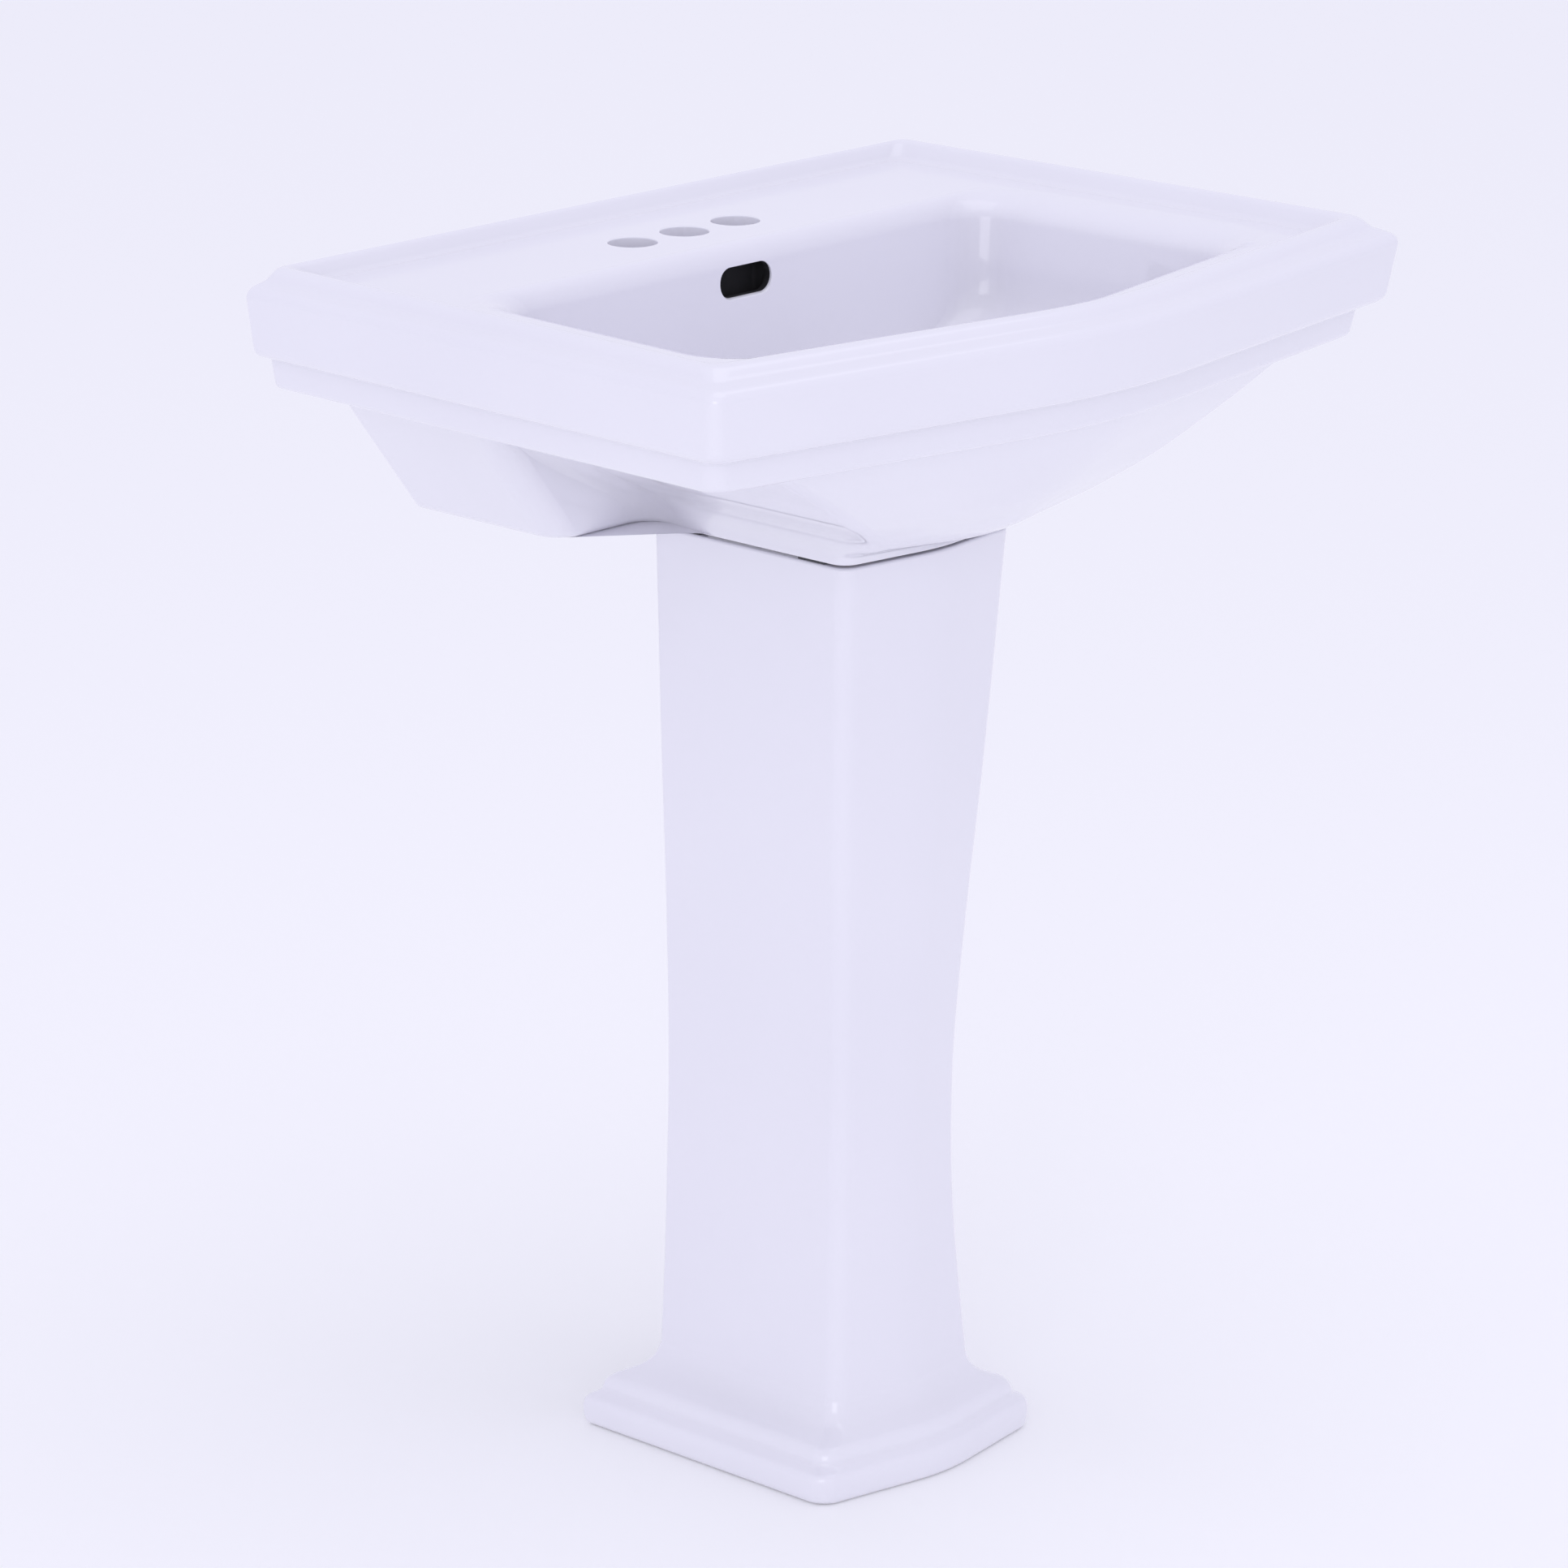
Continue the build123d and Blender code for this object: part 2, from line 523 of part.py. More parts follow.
def slip_nut(y, z_bottom):
    """Slip-joint nut: hexagon skirt over the wide end, shoulder closing on the tube."""
    shoulder_z = z_bottom + SLIP_NUT_HEIGHT - SLIP_NUT_SHOULDER
    top_z = z_bottom + SLIP_NUT_HEIGHT
    skirt = Pos(0, y, z_bottom) * extrude(RegularPolygon(SLIP_NUT_R, 6), SLIP_NUT_SKIRT)
    body = skirt + post(SLIP_NUT_TOP_R, z_bottom + SLIP_NUT_SKIRT, top_z, y)
    body -= post(CUP_R + THREAD_GAP, z_bottom - CUT_PAST, shoulder_z, y)
    return body - post(TUBE_R + THREAD_GAP, z_bottom, top_z + CUT_PAST, y)


def trap_arm():
    """Elbow and short horizontal tube that takes the building's waste pipe."""
    start_z = OUTLET_TOP_Z + WASHER_THICKNESS
    turn_start = (0, -OUTLET_Y, ARM_Z - ARM_BEND_R)
    half_turn = ARM_BEND_R * math.sqrt(0.5)
    turn_middle = (0, -OUTLET_Y + ARM_BEND_R - half_turn, ARM_Z - ARM_BEND_R + half_turn)
    turn_end = (0, -OUTLET_Y + ARM_BEND_R, ARM_Z)
    path = Wire([Line((0, -OUTLET_Y, start_z), turn_start), ThreePointArc(turn_start, turn_middle, turn_end),
                 Line(turn_end, (0, -ARM_END_Y, ARM_Z))])
    bead_top_z = OUTLET_NUT_Z + SLIP_NUT_HEIGHT - SLIP_NUT_SHOULDER
    return hollow_tube(path) + ring(CUP_R, TUBE_R, start_z, bead_top_z, -OUTLET_Y)


def slip_washer(y, z_low, inner_r):
    """Rubber ring squeezed by a slip nut."""
    return ring(CUP_R, inner_r, z_low, z_low + WASHER_THICKNESS, y)


PARTS = {
    "basin": basin,
    "pedestal": pedestal,
    "rest_pads": rest_pads,
    "flange_gasket": flange_gasket,
    "drain_flange": drain_flange,
    "drain_body": drain_body,
    "cone_washer": cone_washer,
    "friction_washer": friction_washer,
    "drain_locknut": drain_locknut,
    "stopper_cartridge": stopper_cartridge,
    "stopper_cap": stopper_cap,
    "stopper_seal": stopper_seal,
    "stopper_plunger": stopper_plunger,
    "tailpiece": tailpiece,
    "trap_inlet_nut": lambda: slip_nut(-DRAIN_Y, INLET_NUT_Z),
    "trap_inlet_washer": lambda: slip_washer(-DRAIN_Y, CUP_TOP_Z, TUBE_R + WASHER_GAP),
    "trap_j_bend": trap_j_bend,
    "trap_outlet_nut": lambda: slip_nut(-OUTLET_Y, OUTLET_NUT_Z),
    "trap_outlet_washer": lambda: slip_washer(-OUTLET_Y, OUTLET_TOP_Z, TUBE_R - TUBE_WALL),
    "trap_arm": trap_arm,
}

os.makedirs("parts", exist_ok=True)
for name, make in PARTS.items():
    export_step(Pos(0, FLOOR_HOLE_Y, 0) * make(), "parts/" + name + ".step")
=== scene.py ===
"""Looks of the pedestal wash basin: glazed china basin and pedestal, chromed drain, push stopper and trap.

Sizes are in millimetres with the wall at y = 0, the user on the -Y side and the floor at z = 0. They are
turned into the frame's metres only when a mesh is made.
"""
import logging
import math
from dataclasses import dataclass
from enum import Enum
from typing import Any, Sequence

import bmesh
import bpy
import numpy as np
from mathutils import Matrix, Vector


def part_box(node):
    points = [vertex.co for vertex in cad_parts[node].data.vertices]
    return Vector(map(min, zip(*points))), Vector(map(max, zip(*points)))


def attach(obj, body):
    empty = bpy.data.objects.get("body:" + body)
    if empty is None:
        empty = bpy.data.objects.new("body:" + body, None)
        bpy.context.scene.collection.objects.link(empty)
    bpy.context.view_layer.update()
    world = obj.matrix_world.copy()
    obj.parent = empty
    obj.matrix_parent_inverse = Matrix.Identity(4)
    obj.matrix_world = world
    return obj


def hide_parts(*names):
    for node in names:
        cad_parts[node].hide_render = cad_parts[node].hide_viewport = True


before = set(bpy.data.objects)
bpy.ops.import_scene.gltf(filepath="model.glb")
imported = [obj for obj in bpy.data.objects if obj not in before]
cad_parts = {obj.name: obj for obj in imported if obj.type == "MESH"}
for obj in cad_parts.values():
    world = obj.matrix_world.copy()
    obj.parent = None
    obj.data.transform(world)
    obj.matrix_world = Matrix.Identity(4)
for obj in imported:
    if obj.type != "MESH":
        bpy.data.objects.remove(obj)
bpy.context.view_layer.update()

WALL_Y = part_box("basin")[1].y
MM = 0.001
LOG = logging.getLogger("basin")

Piece = bpy.types.Object
Material = bpy.types.Material
Rows = Sequence[Sequence[float]]

# largest share of an edge that a corner's rounding may take
ROUNDING_SHARE = 0.48
# how close an edge's end points lie to its ends: a distance, and at most this share of the edge
NEAR_END = 1.5
NEAR_SHARE = 0.15
# share of the half width that the rounding of a bowed front's apex takes
APEX_SHARE = 0.23
# points closer than this many metres are one
MERGE_DISTANCE = 1e-7
# edges sharper than this many degrees stay crisp
CREASE_ANGLE = 38.0
NUT_CREASE_ANGLE = 25.0
TURNED_SEGMENTS = 96
TUBE_SEGMENTS = 64
# rounding of a tube's ends
TUBE_END = 0.25


class Body(Enum):
    """Rigid bodies of the row."""

    SINK = "sink"
    STOPPER = "stopper"


class Slot(Enum):
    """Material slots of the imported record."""

    CHINA = "vitreous_china"
    CHROME = "chromed_brass"
    BRASS = "bare_brass"
    RUBBER = "black_rubber"


# ---- finishes ----
def linear(hex_code: str) -> tuple[float, float, float, float]:
    """Turns an sRGB hex colour into a linear one.

    Args:
        hex_code: Six hexadecimal digits.

    Returns:
        Linear red, green, blue and an alpha of one.
    """
    values = [int(hex_code[i:i + 2], 16) / 255 for i in (0, 2, 4)]
    red, green, blue = [v / 12.92 if v <= 0.04045 else ((v + 0.055) / 1.055) ** 2.4 for v in values]
    return red, green, blue, 1.0


def add_node(tree: bpy.types.NodeTree, kind: str, inputs: dict[str, Any] | None = None,
             settings: dict[str, Any] | None = None) -> bpy.types.Node:
    """Adds a node, sets its properties and fills or links its inputs.

    Args:
        tree: Node tree that gets the node.
        kind: Blender's node type.
        inputs: Input name to a value, or to the socket that feeds it.
        settings: Properties of the node.

    Returns:
        The new node.
    """
    node = tree.nodes.new(kind)
    for name, value in (settings or {}).items():
        setattr(node, name, value)
    for name, value in (inputs or {}).items():
        if isinstance(value, bpy.types.NodeSocket):
            tree.links.new(value, node.inputs[name])
        else:
            node.inputs[name].default_value = value
    return node


@dataclass(frozen=True)
class Finish:
    """A surface made of a base colour that drifts slightly, a gloss that drifts slightly and a fine relief."""

    name: str
    light: str
    dark: str
    roughness: float
    roughness_spread: float
    metallic: float
    ior: float
    coat: float
    coat_roughness: float
    drift_mm: float
    relief_mm: float
    relief_height_mm: float

    def build(self) -> Material:
        """Makes the material.

        Returns:
            The new material.
        """
        material = bpy.data.materials.new(self.name)
        material.use_nodes = True
        tree = material.node_tree
        tree.nodes.clear()
        place = add_node(tree, "ShaderNodeTexCoord").outputs["Object"]
        drift = add_node(tree, "ShaderNodeTexNoise",
                         {"Vector": place, "Scale": 1000 / self.drift_mm, "Detail": 3.0, "Roughness": 0.5})
        colour = add_node(tree, "ShaderNodeMix",
                          {"Factor": drift.outputs["Fac"], "A": linear(self.light), "B": linear(self.dark)},
                          {"data_type": "RGBA"})
        gloss = add_node(tree, "ShaderNodeMapRange",
                         {"Value": drift.outputs["Fac"], "To Min": self.roughness - self.roughness_spread,
                          "To Max": self.roughness + self.roughness_spread})
        grain = add_node(tree, "ShaderNodeTexNoise",
                         {"Vector": place, "Scale": 1000 / self.relief_mm, "Detail": 2.0, "Roughness": 0.5})
        relief = add_node(tree, "ShaderNodeBump",
                          {"Height": grain.outputs["Fac"], "Distance": self.relief_height_mm * MM, "Strength": 1.0})
        shader = add_node(tree, "ShaderNodeBsdfPrincipled", {
            "Base Color": next(s for s in colour.outputs if s.type == "RGBA"),
            "Roughness": gloss.outputs["Result"], "Normal": relief.outputs["Normal"], "Metallic": self.metallic,
            "IOR": self.ior, "Coat Weight": self.coat, "Coat Roughness": self.coat_roughness})
        if self.coat:
            tree.links.new(relief.outputs["Normal"], shader.inputs["Coat Normal"])
        add_node(tree, "ShaderNodeOutputMaterial", {"Surface": shader.outputs["BSDF"]})
        return material


# Vitreous china, slip cast and sprayed with a glassy white glaze. The glaze levels as it melts, so it is
# almost a mirror, with a slow waviness some 14 mm across that softens what it reflects.
GLAZED_CHINA = Finish("glazed_vitreous_china", "EEEDF4", "E9E8F0", 0.32, 0.03, 0.0, 1.52, 1.0, 0.035, 160.0, 14.0,
                      0.012)
# The same body where no glaze reaches, inside the overflow: rough and unglazed, its dark colour painted shade for the
# depth of the duct.
UNGLAZED_CHINA_PAINTED_SHADE = Finish("unglazed_china_painted_shade", "242327", "141316", 0.85, 0.05, 0.0, 1.5, 0.0, 0.1, 12.0, 0.8, 0.05)
# Brass, polished and chrome plated: a mirror with a faint haze of wiping marks.
CHROME = Finish("chrome_plated_brass", "C9CBD0", "BFC1C7", 0.08, 0.03, 1.0, 1.5, 0.0, 0.05, 30.0, 2.0, 0.001)
# Drawn and turned brass left bare, dulled by handling.
BARE_BRASS = Finish("turned_yellow_brass", "C8A458", "A9853F", 0.33, 0.08, 1.0, 1.5, 0.0, 0.1, 9.0, 0.7, 0.012)
# Moulded nitrile rubber: black, matt, with the fine grain of its mould.
RUBBER = Finish("moulded_black_rubber", "1B1B1C", "141415", 0.62, 0.08, 0.0, 1.5, 0.0, 0.1, 8.0, 0.6, 0.03)
# Closed-cell rubber foam: dark grey, with cells about a millimetre across.
FOAM = Finish("closed_cell_rubber_foam", "5A5A5D", "434346", 0.85, 0.05, 0.0, 1.5, 0.0, 0.1, 3.0, 1.0, 0.15)
# Injection moulded polypropylene: milky white with a satin skin.
PLASTIC = Finish("moulded_polypropylene", "E6E5E0", "DBDAD4", 0.42, 0.05, 0.0, 1.49, 0.0, 0.1, 15.0, 0.9, 0.01)


# ---- outlines and meshes ----
def fillet_path(corners: Rows, arc_steps: Sequence[int], edge_steps: Sequence[int],
                closed: bool = True) -> np.ndarray:
    """Rounds the corners of a polygon and always gives the same number of points.

    Args:
        corners: x, y and tangent length of each corner.
        arc_steps: Steps round each corner.
        edge_steps: Points along each edge, the first and last of them close to the edge's ends.
        closed: Whether the last corner joins the first.

    Returns:
        Points as an array of two columns.
    """
    points = np.array([c[:2] for c in corners], float)
    count = len(points)
    starts, ends, arcs = [], [], []
    for i in range(count):
        here, before, after = points[i], points[i - 1], points[(i + 1) % count]
        if not closed and i in (0, count - 1):
            starts.append(here)
            ends.append(here)
            arcs.append(here[None, :])
            continue
        to_before, to_after = before - here, after - here
        reach = min(corners[i][2], ROUNDING_SHARE * np.linalg.norm(to_before),
                    ROUNDING_SHARE * np.linalg.norm(to_after))
        u, v = to_before / np.linalg.norm(to_before), to_after / np.linalg.norm(to_after)
        start, end = here + u * reach, here + v * reach
        share = np.linspace(0, 1, arc_steps[i] + 1)[:, None]
        bisector = u + v
        if np.linalg.norm(bisector) < 1e-3:
            arc = start + (end - start) * share
        else:
            half = math.acos(float(np.clip(u @ v, -1, 1))) / 2
            radius = reach * math.tan(half)
            centre = here + bisector / np.linalg.norm(bisector) * reach / math.cos(half)
            turn = math.pi - 2 * half
            a, b = (start - centre) / radius, (end - centre) / radius
            arc = centre + radius * (np.sin((1 - share) * turn) * a + np.sin(share * turn) * b) / math.sin(turn)
        starts.append(start)
        ends.append(end)
        arcs.append(arc)
    out = []
    for i in range(count if closed else count - 1):
        out.append(arcs[i])
        a, b = ends[i], starts[(i + 1) % count]
        length = float(np.linalg.norm(b - a))
        near = min(NEAR_END, NEAR_SHARE * length) / max(length, 1e-9)
        inner = np.linspace(near, 1 - near, edge_steps[i])[:, None]
        out.append(a + (b - a) * inner)
    if not closed:
        out.append(arcs[-1])
    return np.concatenate(out)


def spline(table: Rows, steps: int) -> np.ndarray:
    """Smooth curve through the rows of a table.

    Args:
        table: Rows of numbers that the curve passes through.
        steps: Steps from each row to the next.

    Returns:
        The rows of the curve.
    """
    rows = np.array(table, float)
    padded = np.concatenate([2 * rows[:1] - rows[1:2], rows, 2 * rows[-1:] - rows[-2:-1]])
    out = []
    for i in range(1, len(rows)):
        p0, p1, p2, p3 = padded[i - 1], padded[i], padded[i + 1], padded[i + 2]
        before, here, after = (max(float(np.linalg.norm(b - a)), 1e-9) ** 0.5
                               for a, b in ((p0, p1), (p1, p2), (p2, p3)))
        m1 = (p2 - p1 + here * ((p1 - p0) / before - (p2 - p0) / (before + here)))
        m2 = (p2 - p1 + here * ((p3 - p2) / after - (p3 - p1) / (here + after)))
        t = np.linspace(0, 1, steps, endpoint=False)[:, None]
        out.append((2 * t ** 3 - 3 * t ** 2 + 1) * p1 + (t ** 3 - 2 * t ** 2 + t) * m1
                   + (3 * t ** 2 - 2 * t ** 3) * p2 + (t ** 3 - t ** 2) * m2)
    out.append(rows[-1:])
    return np.concatenate(out)


def at_height(outline: np.ndarray, z: float) -> np.ndarray:
    """Puts a flat outline at a height."""
    return np.c_[outline, np.full(len(outline), z)]


def onto_circle(outline: np.ndarray, centre: tuple[float, float], radius: float, z: float) -> np.ndarray:
    """Moves each point of an outline straight towards or away from a centre, onto a circle.

    Args:
        outline: Points whose first two columns are x and y.
        centre: x and y of the circle's centre.
        radius: Radius of the circle.
        z: Height of the circle.

    Returns:
        The points on the circle.
    """
    away = outline[:, :2] - np.array(centre)
    away /= np.linalg.norm(away, axis=1)[:, None]
    return at_height(np.array(centre) + radius * away, z)


def ring_faces(rings: int, count: int, looped: bool) -> list[tuple[int, ...]]:
    """Quads between rings that all have the same number of points.

    Args:
        rings: Number of rings.
        count: Points in each ring.
        looped: Whether the last ring joins the first, otherwise both are closed with one face each.

    Returns:
        Faces as tuples of vertex numbers.
    """
    faces: list[tuple[int, ...]] = []
    for i in range(rings if looped else rings - 1):
        a, b = i * count, ((i + 1) % rings) * count
        faces += [(a + j, a + (j + 1) % count, b + (j + 1) % count, b + j) for j in range(count)]
    if not looped:
        faces.append(tuple(range(count)))
        faces.append(tuple((rings - 1) * count + j for j in reversed(range(count))))
    return faces


def add_object(name: str, data: bpy.types.ID) -> Piece:
    """Adds an object to the scene."""
    made = bpy.data.objects.new(name, data)
    bpy.context.scene.collection.objects.link(made)
    return made


def make_object(name: str, rings: Sequence[np.ndarray], looped: bool, material: Material) -> Piece:
    """Makes an object from rings given in millimetres from the wall.

    Args:
        name: Name of the object.
        rings: Rings of points with three columns.
        looped: Whether the last ring joins the first.
        material: Finish of the object.

    Returns:
        The object, at the origin, with its faces outwards.
    """
    points = np.concatenate(rings) * MM + np.array([0.0, WALL_Y, 0.0])
    mesh = bpy.data.meshes.new(name)
    mesh.from_pydata(points.tolist(), [], ring_faces(len(rings), len(rings[0]), looped))
    mesh.materials.append(material)
    shell = bmesh.new()
    shell.from_mesh(mesh)
    bmesh.ops.remove_doubles(shell, verts=shell.verts, dist=MERGE_DISTANCE)
    bmesh.ops.recalc_face_normals(shell, faces=shell.faces)
    shell.to_mesh(mesh)
    shell.free()
    return add_object(name, mesh)


def join(objects: Sequence[Piece]) -> Piece:
    """Joins separate objects into the first one.

    Args:
        objects: Objects that don't touch each other.

    Returns:
        The first object with all the meshes.
    """
    whole = bmesh.new()
    for part in objects:
        whole.from_mesh(part.data)
    whole.to_mesh(objects[0].data)
    whole.free()
    for part in objects[1:]:
        bpy.data.objects.remove(part)
    return objects[0]


class Join(Enum):
    """How a second solid changes the first."""

    CUT = "DIFFERENCE"
    ADD = "UNION"


def combine(target: Piece, tool: Piece, how: Join) -> None:
    """Cuts or joins a solid with another, which is used up.

    Args:
        target: Solid that changes.
        tool: Solid that is used.
        how: Way they combine.
    """
    change = target.modifiers.new("combine", "BOOLEAN")
    change.operation, change.object, change.solver = how.value, tool, "EXACT"
    change.material_mode = "TRANSFER"
    bake(target)
    bpy.data.objects.remove(tool)


def bake(piece: Piece) -> None:
    """Turns an object's modifiers into plain mesh."""
    graph = bpy.context.evaluated_depsgraph_get()
    solid = bpy.data.meshes.new_from_object(piece.evaluated_get(graph))
    piece.modifiers.clear()
    piece.data = solid


def smooth(piece: Piece, angle: float = CREASE_ANGLE) -> None:
    """Shades a piece smooth, with edges over an angle kept crisp and large faces kept flat.

    Args:
        piece: Piece to shade.
        angle: Angle in degrees.
    """
    piece.data.shade_smooth()
    piece.data.set_sharp_from_angle(angle=math.radians(angle))
    weight = piece.modifiers.new("weight", "WEIGHTED_NORMAL")
    weight.keep_sharp, weight.weight = True, 80
    bake(piece)


def place(piece: Piece, body: Body, slot: Slot, *nodes: str) -> Piece:
    """Gives a finished piece its body and hides the CAD nodes it stands for.

    Args:
        piece: Finished piece.
        body: Body it moves with.
        slot: Material slot of the record; not used.
        nodes: CAD nodes it replaces.

    Returns:
        The piece.
    """
    piece.data.name = piece.name
    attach(piece, body.value)
    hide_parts(*nodes)
    LOG.info("%s: %d faces, on %s", piece.name, len(piece.data.polygons), body.value)
    return piece


# ---- basin ----
@dataclass
class Basin:
    """One china casting: rim, deck, bowl, belly and the block that hangs on the wall."""

    china: Material
    # unglazed finish painted dark: painted shade for the overflow's duct and throat
    raw_painted_shade: Material
    half_front: float = 343.0
    half_back: float = 331.0
    corner_y: float = 448.0
    bow: float = 50.0
    corner_r: float = 8.0
    deck_z: float = 852.5
    deck_thickness: float = 14.0
    crest_inset: float = 24.5
    lip_drop: float = 18.0
    lip_steps: int = 12
    drain_y: float = 240.0
    seat_z: float = 718.5
    pad_z: float = 694.0
    block_z: float = 672.0
    block_depth: float = 138.0
    block_half: float = 175.0
    block_flare: float = 83.0
    block_rise: float = 108.0
    wall: float = 14.0
    hole_y: float = 87.0
    hole_pitch: float = 50.8
    hole_r: float = 17.15
    wall_hole_x: float = 140.0
    wall_hole_z: float = 740.0
    wall_hole_r: float = 6.5
    slot_half: float = 25.5
    slot_reach: float = 11.0
    slot_z: float = 827.0

    # inset from the widest line, height and rounding, from the underside up over the crest to the deck
    profile = ((36.0, 779.0, 0.0), (23.0, 779.0, 4.5), (19.2, 801.6, 2.6), (6.2, 803.9, 6.5), (-0.2, 849.9, 6.0),
               (12.8, 855.6, 2.0), (19.6, 863.6, 4.6), (27.5, 863.6, 4.6), (40.5, 852.5, 9.0), (50.5, 852.5, 0.0))
    # height, half width at the back, at the front, back y, corner y, bow, corner radius
    bowl = ((834.5, 239.0, 247.0, 145.6, 377.5, 43.8, 30.5), (810.0, 235.5, 242.6, 148.0, 375.6, 43.0, 33.0),
            (779.0, 230.0, 236.0, 152.0, 373.0, 42.0, 38.0), (760.0, 203.0, 207.0, 157.0, 366.0, 38.0, 45.0),
            (740.0, 166.0, 168.0, 168.0, 352.0, 30.0, 50.0), (729.0, 134.0, 135.0, 180.0, 333.0, 21.0, 50.0),
            (724.0, 104.0, 104.0, 192.0, 309.0, 12.0, 42.0), (722.0, 76.0, 76.0, 201.0, 287.0, 5.0, 34.0))
    # width of the lip's roll at the back of the sides, at their front, at the back and at the front, and
    # what it adds to the bow and to the back and the front corners' rounding
    lip = (34.0, 40.5, 12.0, 19.0, 5.0, 40.0, 20.0)
    # height, half width, corner y, bow
    belly = ((779.2, 258.6, 421.8, 46.0), (760.0, 223.0, 415.0, 40.0), (740.0, 186.0, 405.0, 33.0),
             (720.0, 151.0, 392.0, 26.0), (706.0, 123.0, 379.0, 22.0), (694.0, 101.0, 364.0, 23.0),
             (684.0, 90.0, 343.0, 22.0), (676.0, 85.5, 322.0, 14.0), (671.0, 84.6, 318.4, 10.4))

    def outline(self, back_half: float, front_half: float, back_y: float, corner_y: float, bow: float,
                back_reach: float, front_reach: float,
                notch: tuple[float, float, float] | None = None) -> np.ndarray:
        """Plan outline with a bowed front, always of nine corners.

        Args:
            back_half: Half width at the back.
            front_half: Half width at the front corners.
            back_y: Distance of the back edge from the wall.
            corner_y: Distance of the front corners from the wall.
            bow: How far the front bulges past its corners.
            back_reach: Rounding of the back corners.
            front_reach: Rounding of the front corners.
            notch: Depth of a wider block at the back, its rounding and that of the corner inside it.

        Returns:
            Points of the outline.
        """
        arc_half = APEX_SHARE * front_half
        slope = bow / (front_half - arc_half / 2)
        apex = (0.0, -corner_y - front_half * slope, arc_half * math.hypot(1.0, slope))
        if notch is None:
            marks = [(back_half + (front_half - back_half) * t, -back_y - (corner_y - back_y) * t, 1.0)
                     for t in (0.27, 0.33)]
        else:
            depth, outer_reach, inner_reach = notch
            marks = [(back_half, -depth, outer_reach), (front_half, -depth - 0.01, inner_reach)]
        right = [(back_half, -back_y, back_reach), *marks, (front_half, -corner_y, front_reach)]
        left = [(-x, y, reach) for x, y, reach in reversed(right)]
        corners = right + [apex] + left
        return fillet_path(corners, (6, 6, 6, 8, 12, 8, 6, 6, 6), (4, 4, 8, 9, 9, 8, 4, 4, 14))

    def rim_ring(self, inset: float, z: float, on_top: bool) -> np.ndarray:
        """Ring of the rim at an inset; on top, its back keeps closer to the wall than its sides."""
        past = max(0.0, inset - self.crest_inset)
        back_y = 0.4 * (inset - past) + 0.6 * past if on_top else 0.0
        growth = max(inset, 0.0)
        flat = self.outline(self.half_back - inset, self.half_front - inset, max(back_y, 0.0),
                            self.corner_y - inset, self.bow, 2.0 + growth / 5, self.corner_r + growth / 6)
        return at_height(flat, z)

    def bowl_ring(self, row: Sequence[float], roll: float = 0.0, drop: float = 0.0) -> np.ndarray:
        """Ring of the bowl from a row of its table, or one of its lip.

        Args:
            row: Height, half widths, back y, corner y, bow and corner radius.
            roll: Share of the lip's width by which the ring lies outside the bowl's wall.
            drop: Depth below the deck of a ring on the lip.

        Returns:
            Points of the ring.
        """
        height, back, front, back_y, corner_y, bow, reach = row
        back_side, front_side, behind, ahead, swell, back_reach, front_reach = [roll * size for size in self.lip]
        flat = self.outline(back + back_side, front + front_side, back_y - behind, corner_y + ahead, bow + swell,
                            reach + back_reach, reach + front_reach)
        return at_height(flat, self.deck_z - drop if roll else height)

    def under_ring(self, row: Sequence[float], block_inset: float = 0.0) -> np.ndarray:
        """Ring round the belly and the block behind it."""
        z, half, corner_y, bow = row
        block = self.block_half + (z - self.block_z) * self.block_flare / self.block_rise - block_inset
        depth = self.block_depth - block_inset
        return at_height(self.outline(block, half, 0.0, corner_y, bow, 2.0, 11.0, (depth, 20.0, 22.0)), z)

    def collar_ring(self, inset: float, z: float) -> np.ndarray:
        """Ring of the collar that meets the pedestal."""
        flat = self.outline(84.5 - inset, 84.5 - inset, 136.0 + inset, 318.0 - inset, 10.0, 6.0, 11.0)
        return at_height(flat, z)

    def rim_rings(self) -> list[np.ndarray]:
        """Rings from the underside over the crest to the edge of the flat deck."""
        path = fillet_path(self.profile, (0, 5, 4, 5, 6, 5, 6, 7, 12, 0), (3, 5, 3, 8, 5, 3, 3, 3, 3), closed=False)
        top = int(np.argmin(path[:, 0]))
        return [self.rim_ring(inset, z, i > top) for i, (inset, z) in enumerate(path)]

    def bowl_rings(self) -> list[np.ndarray]:
        """Rings from the deck over the bowl's rolled lip and down to its floor."""
        turns = np.linspace(0.0, math.pi / 2, self.lip_steps, endpoint=False)
        lip = [self.bowl_ring(self.bowl[0], 1 - math.sin(t), self.lip_drop * (1 - math.cos(t))) for t in turns]
        return lip + [self.bowl_ring(row) for row in spline(self.bowl, 6)]

    def drain_rings(self, around: np.ndarray) -> list[np.ndarray]:
        """Rings of the drain's seat and bore, from the bowl's floor down to the pad under it."""
        seat, pad = self.seat_z, self.pad_z
        steps = ((40.0, 721.7), (36.6, 721.6), (35.5, 721.2), (35.0, 720.4), (35.0, seat + 0.5), (34.5, seat),
                 (23.4, seat), (22.7, seat - 0.3), (22.5, seat - 1.0), (22.5, pad + 1.0), (22.8, pad + 0.2),
                 (23.5, pad), (34.0, pad))
        return [onto_circle(around, (0.0, -self.drain_y), radius, z) for radius, z in steps]

    def collar_rings(self) -> list[np.ndarray]:
        """Rings from the pad, down the hollow of the collar and out to its outer edge."""
        rings = []
        for half, z in ((60.0, 694.0), (66.5, 694.0), (67.6, 693.4), (68.0, 692.0), (68.0, 671.0), (68.4, 669.5),
                        (69.5, 669.0)):
            grow = half - 68.0
            flat = self.outline(half, half, 152.0 - grow, 304.0 + grow, 0.5, 10.0, 10.0)
            rings.append(at_height(flat, z))
        return rings + [self.collar_ring(inset, z) for inset, z in ((1.6, 669.0), (0.5, 669.3), (0.0, 670.2))]

